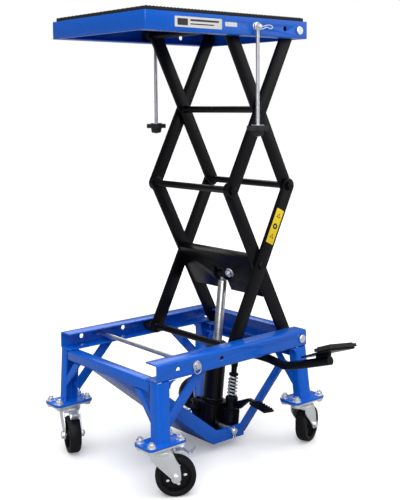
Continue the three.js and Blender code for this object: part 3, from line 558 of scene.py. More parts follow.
@dataclass(frozen=True)
class Rubber(Finish):
    """Moulded rubber: a fine pebble, dust in the low places and a soft dull face."""

    title: str
    colour: Point3
    dust: Point3
    roughness: float
    pebble: float

    def build(self, graph: NodeGraph, shader: bpy.types.Node) -> None:
        """Dusty patches in the colour, pebble in the normal."""
        shader.inputs["Specular IOR Level"].default_value = 0.17
        cloud = self.noise(graph, 22.0, 8.0, 0.6)
        base = self.ramp(graph, cloud.outputs["Fac"], [
            (0.35, self.colour), (0.6, shade(self.colour, 1.5)), (0.82, self.dust)])
        graph.link(base, shader.inputs["Base Color"])
        rough = self.level(graph, cloud.outputs["Fac"], self.roughness, self.roughness + 0.16)
        graph.link(rough, shader.inputs["Roughness"])
        grain = self.noise(graph, 900.0, 3.0)
        self.bump(graph, shader, grain.outputs["Fac"], self.pebble)


@dataclass(frozen=True)
class Moulded(Finish):
    """Moulded plastic: a spark-eroded texture with polished high spots."""

    title: str
    colour: Point3
    roughness: float

    def build(self, graph: NodeGraph, shader: bpy.types.Node) -> None:
        """A near even colour, a fine texture and small changes of gloss."""
        shader.inputs["Specular IOR Level"].default_value = 0.25
        cloud = self.noise(graph, 40.0, 5.0)
        base = self.ramp(graph, cloud.outputs["Fac"], [
            (0.3, shade(self.colour, 0.8)), (0.7, shade(self.colour, 1.35))])
        graph.link(base, shader.inputs["Base Color"])
        rough = self.level(graph, cloud.outputs["Fac"], self.roughness - 0.05, self.roughness + 0.1)
        graph.link(rough, shader.inputs["Roughness"])
        grain = self.noise(graph, 1400.0, 2.0)
        self.bump(graph, shader, grain.outputs["Fac"], 0.00004, 0.4)


@dataclass(frozen=True)
class Sticker(Finish):
    """Printed film: an even colour with a faint wrinkle and soft gloss."""

    title: str
    colour: Point3

    def build(self, graph: NodeGraph, shader: bpy.types.Node) -> None:
        """Slight fading in the colour and a wrinkle in the normal."""
        cloud = self.noise(graph, 30.0, 4.0)
        base = self.ramp(graph, cloud.outputs["Fac"], [
            (0.2, shade(self.colour, 0.9)), (0.8, self.colour)])
        graph.link(base, shader.inputs["Base Color"])
        shader.inputs["Roughness"].default_value = 0.38
        self.bump(graph, shader, cloud.outputs["Fac"], 0.0002, 0.3)


@dataclass(frozen=True)
class StudioFloor(Finish):
    """Pale seamless paper, seen bright by the camera and darker by the light that it bounces."""

    title: str
    colour: Point3
    bounce: Point3
    glow: float

    def build(self, graph: NodeGraph, shader: bpy.types.Node) -> None:
        """An even pale tone with a very faint cloud, and a glow for the camera alone."""
        cloud = self.noise(graph, 1.2, 3.0)
        base = self.ramp(graph, cloud.outputs["Fac"], [
            (0.2, shade(self.colour, 0.985)), (0.8, self.colour)])
        rays = graph.add("ShaderNodeLightPath")
        mix = graph.add("ShaderNodeMix", data_type="RGBA")
        mix.inputs[MIX_FIRST].default_value = (*self.bounce, 1.0)
        graph.link(base, mix.inputs[MIX_SECOND])
        graph.link(rays.outputs["Is Camera Ray"], mix.inputs[MIX_FACTOR])
        graph.link(mix.outputs[2], shader.inputs["Base Color"])
        glow = graph.add("ShaderNodeMapRange", {"To Min": 0.0, "To Max": self.glow})
        graph.link(rays.outputs["Is Camera Ray"], glow.inputs["Value"])
        graph.link(glow.outputs["Result"], shader.inputs["Emission Strength"])
        shader.inputs["Emission Color"].default_value = (1.0, 1.0, 1.0, 1.0)
        shader.inputs["Roughness"].default_value = 0.9
        shader.inputs["Specular IOR Level"].default_value = 0.0


BLUE = PowderCoat(
    "blue_powder_coat", colour=(0.002, 0.118, 0.64), rub=(0.01, 0.16, 0.68),
    roughness=0.25, coat=0.10, gloss=0.34, peel=0.00002,
)
BLACK = PowderCoat(
    "black_powder_coat", colour=(0.003, 0.003, 0.0045), rub=(0.014, 0.014, 0.018),
    roughness=0.3, coat=0.03, gloss=0.16, peel=0.00003,
)
ZINC = Plating("bright_zinc", (0.92, 0.95, 0.97), roughness=0.36, grain=(1.0, 1.0, 0.3), mottle=0.035)
STEEL = Plating("drawn_steel", (0.8, 0.81, 0.83), roughness=0.36, grain=(1.0, 1.0, 0.06), mottle=0.05)
CHROME = Plating("hard_chrome", (0.66, 0.67, 0.69), roughness=0.3, grain=(1.0, 1.0, 9.0), mottle=0.015)
TYRE = Rubber(
    "wheel_rubber", colour=(0.006, 0.006, 0.007), dust=(0.022, 0.021, 0.02),
    roughness=0.4, pebble=0.00004,
)
MAT = Rubber(
    "mat_rubber", colour=(0.01, 0.0105, 0.0125), dust=(0.03, 0.03, 0.031),
    roughness=0.55, pebble=0.00012,
)
KNOB = Moulded("knob_plastic", (0.006, 0.006, 0.007), roughness=0.34)
LABEL_WHITE = Sticker("label_white", (0.84, 0.84, 0.83))
LABEL_YELLOW = Sticker("label_yellow", (1.0, 0.74, 0.0))
LABEL_INK = Sticker("label_ink", (0.03, 0.03, 0.035))
FLOOR = StudioFloor("studio_floor", (0.9, 0.9, 0.9), bounce=(0.42, 0.42, 0.42), glow=0.22)


# ---------------------------------------------------------------- frame facts


def node_box(node: str) -> tuple[Vector, Vector]:
    """A frame node's corners at rest, in millimetres."""
    low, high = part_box(node)
    return Vector(low) / MM, Vector(high) / MM


def joint(name: str) -> dict:
    """A joint of the frame by its name."""
    return next(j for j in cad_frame["joints"] if j["name"] == name)


def joint_place(name: str) -> Vector:
    """A hinge's place at rest, in millimetres."""
    return Vector(joint(name)["pos_m"]) / MM


def finish_mesh(obj: bpy.types.Object) -> None:
    """Smooths the faces and keeps the sharp edges sharp."""
    mesh = obj.data
    mesh.polygons.foreach_set("use_smooth", [True] * len(mesh.polygons))
    mesh.set_sharp_from_angle(angle=SMOOTH_ANGLE)
    mesh.update()


def publish(name: str, shape: Shape, body: str, finish: Finish,
            replaces: tuple[str, ...] = ()) -> bpy.types.Object:
    """Turns a shape in millimetres of the row frame into a finished piece.

    Args:
        name: the piece's name.
        shape: the shape; it is freed.
        body: the body it rides on.
        finish: its finish.
        replaces: frame nodes it stands for.

    Returns:
        The piece.
    """
    mesh = bpy.data.meshes.new(name)
    bmesh.ops.scale(shape.bm, vec=(MM,) * 3, verts=shape.bm.verts)
    shape.bm.to_mesh(mesh)
    shape.bm.free()
    obj = bpy.data.objects.new(name, mesh)
    bpy.context.scene.collection.objects.link(obj)
    return dress(obj, body, finish, replaces)


def dress(obj: bpy.types.Object, body: str, finish: Finish,
          replaces: tuple[str, ...] = ()) -> bpy.types.Object:
    """Gives a placed object its finish and body, hides the frame nodes it replaces, and logs it."""
    obj.data.materials.clear()
    obj.data.materials.append(finish.material())
    finish_mesh(obj)
    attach(obj, body)
    if replaces:
        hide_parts(*replaces)
    log.info("%s: %d faces on %s", obj.name, len(obj.data.polygons), body)
    return obj


# ---------------------------------------------------------------- geometry nodes


class PatternTree:
    """Base of the geometry node trees: named inputs, then Realize Instances and Set Material."""

    title = "pattern"
    inputs: tuple[tuple[str, str], ...] = ()

    def __init__(self) -> None:
        """Builds the tree with its inputs and its closing nodes."""
        self.tree = bpy.data.node_groups.new(self.title, "GeometryNodeTree")
        face = self.tree.interface
        face.new_socket("Geometry", in_out="INPUT", socket_type="NodeSocketGeometry")
        for name, kind in self.inputs:
            face.new_socket(name, in_out="INPUT", socket_type=f"NodeSocket{kind}")
        face.new_socket("Finish", in_out="INPUT", socket_type="NodeSocketMaterial")
        face.new_socket("Geometry", in_out="OUTPUT", socket_type="NodeSocketGeometry")
        self.graph = NodeGraph(self.tree)
        self.enter = self.graph.add("NodeGroupInput")
        leave = self.graph.add("NodeGroupOutput")
        realize = self.graph.add("GeometryNodeRealizeInstances")
        paint = self.graph.add("GeometryNodeSetMaterial")
        self.graph.link(self.build(), realize.inputs["Geometry"])
        self.graph.link(realize.outputs["Geometry"], paint.inputs["Geometry"])
        self.graph.link(self.enter.outputs["Finish"], paint.inputs["Material"])
        self.graph.link(paint.outputs["Geometry"], leave.inputs["Geometry"])

    def build(self) -> bpy.types.NodeSocket:
        """Builds the pattern's own nodes and returns their geometry."""
        raise NotImplementedError

    def grow(self, points: list[Point3], finish: Finish, **values: float) -> Shape:
        """Runs the tree on some points and returns the plain mesh it makes.

        Args:
            points: vertices handed to the tree, in millimetres.
            finish: the finish its faces take.
            values: the tree's inputs, with underscores for spaces.

        Returns:
            The shape it makes, in millimetres.
        """
        mesh = bpy.data.meshes.new(self.title)
        mesh.from_pydata([tuple(p) for p in points], [], [])
        carrier = bpy.data.objects.new(self.title, mesh)
        bpy.context.scene.collection.objects.link(carrier)
        modifier = carrier.modifiers.new("pattern", "NODES")
        modifier.node_group = self.tree
        sockets = {s.name: s.identifier for s in self.tree.interface.items_tree
                   if getattr(s, "in_out", "") == "INPUT"}
        modifier[sockets["Finish"]] = finish.material()
        for key, value in values.items():
            modifier[sockets[key.replace("_", " ")]] = value
        bpy.context.view_layer.update()
        graph = bpy.context.evaluated_depsgraph_get()
        baked = bpy.data.meshes.new_from_object(carrier.evaluated_get(graph))
        shape = Shape()
        shape.bm.from_mesh(baked)
        carrier.modifiers.clear()
        bpy.data.objects.remove(carrier)
        bpy.data.meshes.remove(baked)
        return shape

    def stand(self, geometry: bpy.types.NodeSocket) -> bpy.types.NodeSocket:
        """Puts one copy of a geometry on each of the carrier's points."""
        place = self.graph.add("GeometryNodeInstanceOnPoints")
        self.graph.link(self.enter.outputs["Geometry"], place.inputs["Points"])
        self.graph.link(geometry, place.inputs["Instance"])
        return place.outputs["Instances"]

    def shift(self, geometry: bpy.types.NodeSocket, height: bpy.types.NodeSocket) -> bpy.types.NodeSocket:
        """Lifts a geometry along Z by an amount."""
        vector = self.graph.add("ShaderNodeCombineXYZ")
        self.graph.link(height, vector.inputs["Z"])
        move = self.graph.add("GeometryNodeTransform")
        self.graph.link(geometry, move.inputs["Geometry"])
        self.graph.link(vector.outputs["Vector"], move.inputs["Translation"])
        return move.outputs["Geometry"]

    def halved(self, value: bpy.types.NodeSocket) -> bpy.types.NodeSocket:
        """Half of a value."""
        half = self.graph.add("ShaderNodeMath", {1: 0.5}, operation="MULTIPLY")
        self.graph.link(value, half.inputs[0])
        return half.outputs["Value"]


class BoltTree(PatternTree):
    """A nut, a washer and a screw end standing on every point."""

    title = "foot_bolts"
    inputs = (("Nut Corner", "Float"), ("Nut Height", "Float"), ("Washer Radius", "Float"),
              ("Washer Height", "Float"), ("Screw Radius", "Float"), ("Screw Height", "Float"))

    def build(self) -> bpy.types.NodeSocket:
        """Three cylinders stacked on each point."""
        join = self.graph.add("GeometryNodeJoinGeometry")
        drums = ((6, "Nut Corner", "Nut Height"), (28, "Washer Radius", "Washer Height"),
                 (16, "Screw Radius", "Screw Height"))
        for sides, radius, height in drums:
            drum = self.graph.add("GeometryNodeMeshCylinder", {"Vertices": sides})
            self.graph.link(self.enter.outputs[radius], drum.inputs["Radius"])
            self.graph.link(self.enter.outputs[height], drum.inputs["Depth"])
            lifted = self.shift(drum.outputs["Mesh"], self.halved(self.enter.outputs[height]))
            self.graph.link(lifted, join.inputs["Geometry"])
        return self.stand(join.outputs["Geometry"])


class StudTree(PatternTree):
    """A low round stud on every point of a staggered grid."""

    title = "mat_studs"
    inputs = (("Radius", "Float"), ("Height", "Float"))

    def build(self) -> bpy.types.NodeSocket:
        """A cone frustum with a small flat top, on each point."""
        stud = self.graph.add("GeometryNodeMeshCone", {"Vertices": 8, "Side Segments": 1})
        top = self.halved(self.enter.outputs["Radius"])
        self.graph.link(top, stud.inputs["Radius Top"])
        self.graph.link(self.enter.outputs["Radius"], stud.inputs["Radius Bottom"])
        self.graph.link(self.enter.outputs["Height"], stud.inputs["Depth"])
        return self.stand(stud.outputs["Mesh"])


class CoilTree(PatternTree):
    """A round wire wound in a helix about Z, from the height of the carrier's point."""

    title = "coil"
    inputs = (("Turns", "Float"), ("Radius", "Float"), ("Height", "Float"), ("Wire Radius", "Float"),
              ("Steps", "Int"))

    def build(self) -> bpy.types.NodeSocket:
        """A spiral curve given a round section."""
        spiral = self.graph.add("GeometryNodeCurveSpiral")
        self.graph.link(self.enter.outputs["Steps"], spiral.inputs["Resolution"])
        self.graph.link(self.enter.outputs["Turns"], spiral.inputs["Rotations"])
        for name in ("Start Radius", "End Radius"):
            self.graph.link(self.enter.outputs["Radius"], spiral.inputs[name])
        self.graph.link(self.enter.outputs["Height"], spiral.inputs["Height"])
        section = self.graph.add("GeometryNodeCurvePrimitiveCircle", {"Resolution": 8})
        self.graph.link(self.enter.outputs["Wire Radius"], section.inputs["Radius"])
        wire = self.graph.add("GeometryNodeCurveToMesh", {"Fill Caps": True})
        self.graph.link(spiral.outputs["Curve"], wire.inputs["Curve"])
        self.graph.link(section.outputs["Curve"], wire.inputs["Profile Curve"])
        return self.stand(wire.outputs["Mesh"])


class RibTree(PatternTree):
    """A bar across the tread on every point."""

    title = "tread_ribs"
    inputs = (("Length", "Float"), ("Width", "Float"), ("Height", "Float"))

    def build(self) -> bpy.types.NodeSocket:
        """A block sized by the inputs, on each point."""
        size = self.graph.add("ShaderNodeCombineXYZ")
        for name, axis in (("Length", "X"), ("Width", "Y"), ("Height", "Z")):
            self.graph.link(self.enter.outputs[name], size.inputs[axis])
        block = self.graph.add("GeometryNodeMeshCube")
        self.graph.link(size.outputs["Vector"], block.inputs["Size"])
        return self.stand(block.outputs["Mesh"])


# ---------------------------------------------------------------- base frame


@dataclass
class BaseFrame:
    """The welded frame: rails, legs, beams and the jack's cradle, with the safety bar."""

    body: str = "base"
    edge: float = 0.7
    bar_radius: float = 4.5
    strut_run: float = 63.0
    strut_width: float = 20.0
    strut_sheet: float = 4.0
    strut_inset: float = 10.0
    strut_foot: Point2 = (19.0, 28.0)

    def build(self) -> None:
        """Builds the weldments, the far strut, the cradle's pin and the safety bar."""
        for node in ("rail", "leg_front", "leg_rear"):
            for side in Side:
                self.soften(f"{node}_{side.label}")
        for name in ("beam_front", "beam_rear", "jack_cradle"):
            self.soften(name)
        self.far_strut()
        self.cradle_pin()
        self.safety_bar()

    def soften(self, node: str) -> None:
        """Stands a soft-edged copy in for a frame node."""
        shape = Shape.from_node(node, self.edge)
        publish(f"{node}_painted", shape, self.body, BLUE, (node,))

    def far_strut(self) -> None:
        """The flat strut from the far rail's underside to the foot of the far rear leg."""
        rail_low, rail_high = node_box("rail_far")
        leg_low = node_box("leg_rear_far")[0]
        head = Vector((leg_low.x - self.strut_run, rail_low.z))
        foot = Vector((leg_low.x + self.strut_foot[0], leg_low.z + self.strut_foot[1]))
        along = (foot - head).normalized()
        half = Vector((-along.y, along.x)) * self.strut_width / 2
        ends = [head + edge - along * (edge.y / along.y) for edge in (half, -half)]
        outline = [tuple(ends[0]), tuple(ends[1]), tuple(foot - half), tuple(foot + half)]
        shape = Shape.plate(outline, [], 0.0, self.strut_sheet, 0.6)
        shape.moved(Matrix.Translation((0, rail_high.y - self.strut_inset, 0)) @ ON_XZ)
        publish("far_strut", shape, self.body, BLUE)

    def cradle_pin(self) -> None:
        """The pin the jack tilts on, with a head and a hanging hair clip on its near end."""
        low, high = node_box("jack_pin")
        x, z = (low.x + high.x) / 2, (low.z + high.z) / 2
        place = along_y(x, z)
        shape = Shape().add(Shape.round_bar(6.0, low.y, high.y, 1.2), place)
        shape.add(Shape.lathe([(0, high.y - 5), (8.2, high.y - 5), (9, high.y - 4.2), (9, high.y - 0.8),
                               (8.2, high.y), (0, high.y)], 32), place)
        y = low.y + 4.5
        clip = smooth_path([
            (x, y, z + 9), (x, y, z + 2), (x + 0.4, y, z - 6), (x + 2.6, y - 0.6, z - 11),
            (x + 2.4, y - 1.2, z - 15.5), (x - 1.6, y - 1.6, z - 17), (x - 4.6, y - 1.8, z - 13.5),
            (x - 3, y - 1.8, z - 10), (x - 5.4, y - 1.4, z - 4.5), (x - 7, y - 0.8, z + 1),
            (x - 5.4, y - 0.4, z + 7),
        ], 6)
        shape.add(Shape.sweep(clip, 1.0, 10))
        publish("cradle_pin", shape, self.body, ZINC, ("jack_pin",))

    def safety_bar(self) -> None:
        """The bar across the rails, with a washer, a head and a ring outside the near rail."""
        low, high = node_box("lock_bar")
        x, z = (low.x + high.x) / 2, (low.z + high.z) / 2
        web = node_box("rail_near")[0].y
        place = along_y(x, z)
        shape = Shape().add(Shape.round_bar(self.bar_radius, low.y + 1, high.y, 1.0), place)
        shape.add(Shape.lathe([(0, web - 2.2), (8.4, web - 2.2), (9, web - 1.8), (9, web - 0.6),
                               (8.4, web - 0.4), (0, web - 0.4)], 36), place)
        shape.add(Shape.hexagon(12.0, low.y, web - 2.0), place)
        ring = [(x + 8.5 * math.sin(a), low.y + 3.4 + 0.8 * math.sin(a), z - 6.6 + 8.5 * math.cos(a))
                for a in [TURN * i / 36 for i in range(36)]]
        shape.add(Shape.sweep(ring, 0.9, 10, closed=True))
        publish("safety_bar", shape, "lock_bar", STEEL, ("lock_bar",))


# ---------------------------------------------------------------- casters


@dataclass
class Caster:
    """One caster: plate and bolts, race, pressed fork, wheel, axle and, in front, a foot brake."""

    corner: str
    braked: bool
    bolts: BoltTree
    plate_half: Point2 = (42.0, 25.0)
    bolt_half: Point2 = (33.0, 17.0)
    wheel_radius: float = 37.5
    wheel_width: float = 24.0
    fork_inside: float = 15.0
    sheet: float = 2.5
    trail: float = 27.0
    hole_count: int = 5
    hole_radius: float = 3.8

    def build(self) -> None:
        """Builds the caster's pieces on their bodies."""
        self.swivel = joint_place(f"caster_{self.corner}_swivel")
        self.axle = joint_place(f"caster_{self.corner}_spin")
        heading = math.atan2(self.axle.y - self.swivel.y, self.axle.x - self.swivel.x)
        self.upright = Matrix.Translation((self.swivel.x, self.swivel.y, 0))
        self.turned = self.upright @ Matrix.Rotation(heading, 4, "Z")
        self.mount()
        self.fork()
        self.wheel()
        if self.braked:
            self.brake()

    def mount(self) -> None:
        """The top plate with its race and four bolts through the foot."""
        node = f"caster_mount_{self.corner}"
        foot = node_box(node)
        race_low = foot[0].z
        plate_low = race_low + 4.3
        foot_top = foot[1].z - 10.7
        shape = Shape().add(Shape.plate(rounded_rectangle(*self.plate_half, 7, 8), [],
                                        plate_low, plate_low + 3, 0.6), self.upright)
        shape.add(Shape.lathe([(0, race_low), (20.5, race_low), (22, race_low + 1.2), (21.6, race_low + 3),
                               (19, race_low + 4.6), (0, race_low + 4.8)], 48), self.upright)
        spots = [(sx * self.bolt_half[0], sy * self.bolt_half[1], 0.0)
                 for sx in (-1, 1) for sy in (-1, 1)]
        nuts = self.bolts.grow(spots, ZINC, Nut_Corner=7.5, Nut_Height=7.2, Washer_Radius=8.6,
                               Washer_Height=1.4, Screw_Radius=3.9, Screw_Height=10.8)
        nuts.softened(0.55, 2, 40)
        shape.add(nuts, self.upright @ Matrix.Translation((0, 0, foot_top)))
        heads = self.bolts.grow(spots, ZINC, Nut_Corner=7.2, Nut_Height=4.6, Washer_Radius=7.4,
                                Washer_Height=0.8, Screw_Radius=3.9, Screw_Height=4.8)
        heads.softened(0.45, 2, 40)
        flip = Matrix.Rotation(math.pi, 4, "X")
        shape.add(heads, self.upright @ Matrix.Translation((0, 0, plate_low)) @ flip)
        publish(f"caster_plate_{self.corner}", shape, "base", ZINC, (node,))

    def fork(self) -> None:
        """The pressed fork: domed race, yoke, two tapered cheeks, and the axle bolt with its nut."""
        node = f"caster_fork_{self.corner}"
        top = node_box(node)[1].z
        width = self.fork_inside + self.sheet
        shape = Shape().add(Shape.lathe([
            (0, top - 8), (21, top - 8), (23, top - 6.2), (23, top - 3.4), (20.5, top - 0.8),
            (18.5, top), (0, top),
        ], 48), self.turned)
        yoke = Shape.plate(rounded_rectangle(20.1, width - 0.1, 3.2, 5), [], top - 9, top - 5, 1.1)
        shape.add(yoke, self.turned @ Matrix.Translation((1.5, 0, 0)))
        cheek_top = top - 5.4
        eye = [(self.trail + 9 * math.cos(a), self.wheel_radius + 9 * math.sin(a))
               for a in [math.pi + i * math.pi / 12 for i in range(13)]]
        outline = [(-18.6, cheek_top), (-18.4, cheek_top - 9), (-14, cheek_top - 16), *eye,
                   (self.trail + 8.6, self.wheel_radius + 10), (33.5, cheek_top - 22),
                   (27, cheek_top - 12), (21.8, cheek_top)]
        for y in (-width, self.fork_inside):
            cheek = Shape.plate(outline, [], 0, self.sheet, 0.5)
            shape.add(cheek, self.turned @ Matrix.Translation((0, y + self.sheet, 0)) @ ON_XZ)
        axle = self.turned @ along_y(self.trail, self.wheel_radius)
        shape.add(Shape.round_bar(4.0, -width - 3, width + 8, 0.8), axle)
        shape.add(Shape.hexagon(13.0, -width - 5, -width + 0.3), axle)
        shape.add(Shape.hexagon(13.0, width - 0.3, width + 6.3), axle)
        washer = [(0, width - 0.2), (8.6, width - 0.2), (8.6, width + 1), (0, width + 1)]
        shape.add(Shape.lathe(washer, 32), axle)
        publish(f"caster_yoke_{self.corner}", shape, node, ZINC, (node,))

    def wheel(self) -> None:
        """The wheel: a crowned tread, a thin web with round holes and a long hub."""
        half = self.wheel_width / 2
        r = self.wheel_radius
        rim = r - 9
        place = self.turned @ along_y(self.trail, r)
        tread = [(rim - 1.6, -half + 2.0), (rim, -half + 0.4), (r - 4.5, -half), (r - 2.2, -half + 0.8),
                 (r - 0.7, -half + 3), (r, -half + 6.5), (r, half - 6.5), (r - 0.7, half - 3),
                 (r - 2.2, half - 0.8), (r - 4.5, half), (rim, half - 0.4), (rim - 1.6, half - 2.0)]
        shape = Shape().add(Shape.lathe(tread, 64), place)
        ring = (10 + rim - 3) / 2
        turns = [TURN * i / self.hole_count for i in range(self.hole_count)]
        holes = [circle(ring * math.cos(a), ring * math.sin(a), self.hole_radius, 20) for a in turns]
        web = Shape.plate(circle(0, 0, rim - 1, 64), [circle(0, 0, 6, 32), *holes], -3.6, 3.6, 0.8)
        shape.add(web, place)
        hub = [(4.4, -half - 1.4), (8.2, -half - 1.4), (9.2, -half - 0.4), (10.2, -5), (11.5, -3.4),
               (11.5, 3.4), (10.2, 5), (9.2, half + 0.4), (8.2, half + 1.4), (4.4, half + 1.4)]
        shape.add(Shape.lathe(hub, 40), place)
        node = f"caster_wheel_{self.corner}"
        publish(f"wheel_{self.corner}", shape, node, TYRE, (node,))

    def brake(self) -> None:
        """The foot brake: a bent tab between the cheeks, folded up at its end."""
        node = f"caster_brake_{self.corner}"
        top = node_box(f"caster_fork_{self.corner}")[1].z
        x, z = 31.0, top - 4
        spine = smooth_path([
            (x - 3, 0, z - 1.8), (x + 8, 0, z - 1.8), (x + 14, 0, z - 3.5), (x + 19, 0, z - 7.2),
            (x + 23, 0, z - 7.8), (x + 28, 0, z - 3.5), (x + 33, 0, z + 3),
        ], 6)
        outline = [(p[0], p[2] + 1.2) for p in spine] + [(p[0], p[2] - 1.2) for p in reversed(spine)]
        tab = Shape.plate(outline, [], -8.4, 8.4, 0.5)
        shape = Shape().add(tab, self.turned @ ON_XZ)
        publish(f"brake_tab_{self.corner}", shape, node, ZINC, (node,))


# ---------------------------------------------------------------- scissor


@dataclass
class Scissor:
    """Two stages of crossed flat arms with their pins, rollers and cross tubes."""

    width: float = 30.0
    thick: float = 6.0
    inner: float = 112.0
    outer: float = 119.0
    tube_radius: float = 7.0
    pin_radius: float = 6.0
    plated_pins: tuple[str, ...] = ("base", "top", "low_axle", "top_axle")
    label_half: Point2 = (37.0, 10.5)
    label_drop: float = 90.0
    bolt_seat: Point2 = (153.0, 14.0)
    bolt_side: float = -34.0

    def build(self) -> None:
        """Builds the arms, pins, rollers, tubes and the jack's bracket."""
        self.base_pivot = joint_place("lift")
        self.low_cross = joint_place("lower_cross")
        self.middle_front = joint_place("upper_outer_fold")
        self.middle_rear = joint_place("upper_inner_fold")
        self.top_pivot = joint_place("platform_level")
        self.low_roller = joint_place("roller_lower_near_spin")
        self.top_roller = joint_place("roller_upper_near_spin")
        self.middle_y = (self.low_roller.y + joint_place("roller_lower_far_spin").y) / 2
        self.rail = node_box("rail_near")
        self.pan = node_box("platform_pan")
        for side in Side:
            self.arms(side)
            self.pins(side)
            self.rollers(side)
        self.tubes()
        self.bracket()
        self.arm_label()

    def arm_label(self) -> None:
        """A plain yellow label with three dark marks on the near lower outer arm."""
        a, b = self.low_roller, self.middle_rear
        along = Vector((b.x - a.x, 0, b.z - a.z)).normalized()
        centre = Vector((b.x, 0, b.z)) - along * self.label_drop
        y = self.seat(Side.NEAR, self.outer + self.thick)
        angle = math.atan2(along.z, along.x)
        place = Matrix.Translation((centre.x, y, centre.z)) @ ON_XZ @ Matrix.Rotation(angle, 4, "Z")
        half_x, half_y = self.label_half
        sheet = Shape.plate(rounded_rectangle(half_x, half_y, 1.6, 4), [], 0, 0.3, 0.08)
        label = Shape().add(sheet, place)
        publish("label_arm", label, "lower_outer_arms", LABEL_YELLOW)
        marks = Shape()
        for offset in (-22.0, 0.0, 22.0):
            ring = circle(offset, 0, 6.2, 3 if offset else 24)
            marks.add(Shape.plate(ring, [circle(offset, 0, 2.4, 12)], 0.25, 0.42, 0))
        marks.moved(place)
        publish("label_arm_marks", marks, "lower_outer_arms", LABEL_INK)

    def seat(self, side: Side, y: float) -> float:
        """A distance from the middle plane as a row Y on one side."""
        return self.middle_y + side.value * y

    def plate_between(self, side: Side, a: Vector, b: Vector, near: float) -> Shape:
        """A round-ended flat arm between two pivots whose near face is at a distance."""
        outline = rounded_link((a.x, a.z), (b.x, b.z), self.width / 2)
        y0, y1 = self.seat(side, near), self.seat(side, near + self.thick)
        bar = Shape.plate(outline, [], -max(y0, y1), -min(y0, y1), 0.8)
        return bar.moved(ON_XZ)

    def arms(self, side: Side) -> None:
        """The four arms of one side."""
        s = side.label
        rows = (
            ("lower_inner", self.base_pivot, self.middle_front, self.inner, "lower_inner_arms"),
            ("lower_outer", self.low_roller, self.middle_rear, self.outer, "lower_outer_arms"),
            ("upper_outer", self.middle_front, self.top_pivot, self.outer, "upper_outer_arms"),
            ("upper_inner", self.middle_rear, self.top_roller, self.inner, "upper_inner_arms"),
        )
        for name, a, b, near, body in rows:
            shape = self.plate_between(side, a, b, near)
            publish(f"arm_bar_{name}_{s}", shape, body, BLACK, (f"arm_{name}_{s}",))

    def headed_pin(self, side: Side, at: Vector, start: float, stop: float, head: float,
                   depth: float, hexed: bool) -> Shape:
        """A pin from one distance to another with a head on its outer end."""
        shape = Shape().add(Shape.round_bar(self.pin_radius, start, stop + 0.5, 0.4))
        if hexed:
            rim = head + 1.2
            shape.add(Shape.lathe([(0, stop), (rim, stop), (rim, stop + 1.2), (0, stop + 1.2)], 32))
            shape.add(Shape.hexagon(head * 1.732, stop + 1.0, stop + depth))
        else:
            end = stop + depth
            shape.add(Shape.lathe([(0, stop), (head - 0.3, stop), (head, stop + 0.4), (head, end - 1.2),
                                   (head - 1.2, end), (0, end)], 32))
        place = Matrix.Translation((at.x, self.middle_y, at.z))
        place = place @ (MIRROR_Y if side is Side.NEAR else Matrix.Identity(4))
        return shape.moved(place @ Matrix.Rotation(-math.pi / 2, 4, "X"))

    def pins(self, side: Side) -> None:
        """The pivot pins of one side, on the bodies that carry them."""
        s = side.label
        inner_out = self.inner + self.thick
        outer_out = self.outer + self.thick
        from_inner, from_outer, past_outer = inner_out - 0.5, outer_out - 0.5, outer_out + 0.7
        upper_cross = (self.middle_front + self.top_pivot) / 2
        web = abs(self.rail[0].y - self.middle_y)
        skirt = abs(self.pan[0].y - self.middle_y)
        rows = (
            ("base", "lower_inner_arms", self.base_pivot, from_inner, web + 0.8, 8.5, 3.5, False),
            ("lower_cross", "lower_inner_arms", self.low_cross, from_inner, past_outer, 8.5, 3.0, False),
            ("middle_front", "lower_inner_arms", self.middle_front, from_inner, past_outer, 9.0, 5.5, True),
            ("upper_cross", "upper_inner_arms", upper_cross, from_inner, past_outer, 8.5, 3.0, False),
            ("middle_rear", "upper_inner_arms", self.middle_rear, from_inner, past_outer, 9.0, 5.5, True),
            ("top", "upper_outer_arms", self.top_pivot, from_outer, skirt + 0.8, 8.5, 3.0, False),
            ("low_axle", "lower_outer_arms", self.low_roller, from_outer, web - 5.6, 6.0, 0.5, False),
            ("top_axle", "upper_inner_arms", self.top_roller, from_inner, skirt - 5.6, 6.0, 0.5, False),
        )
        for name, body, at, start, stop, head, depth, hexed in rows:
            shape = self.headed_pin(side, at, start, stop, head, depth, hexed)
            slot, finish = ("zinc_plate", ZINC) if name in self.plated_pins else ("black_paint", BLACK)
            publish(f"pin_{name}_{s}", shape, body, finish)

    def rollers(self, side: Side) -> None:
        """The rollers in the rail and under the platform."""
        s = side.label
        for level in ("lower", "upper"):
            node = f"roller_{level}_{s}"
            low, high = node_box(node)
            half = (high.y - low.y) / 2
            radius = (high.z - low.z) / 2
            ring = [(6.3, -half), (radius - 1.5, -half), (radius, -half + 1.2), (radius, half - 1.2),
                    (radius - 1.5, half), (6.3, half)]
            middle = (low + high) / 2
            place = Matrix.Translation((0, middle.y, 0)) @ along_y(middle.x, middle.z)
            shape = Shape().add(Shape.lathe(ring, 40), place)
            publish(f"{node}_wheel", shape, node, KNOB, (node,))

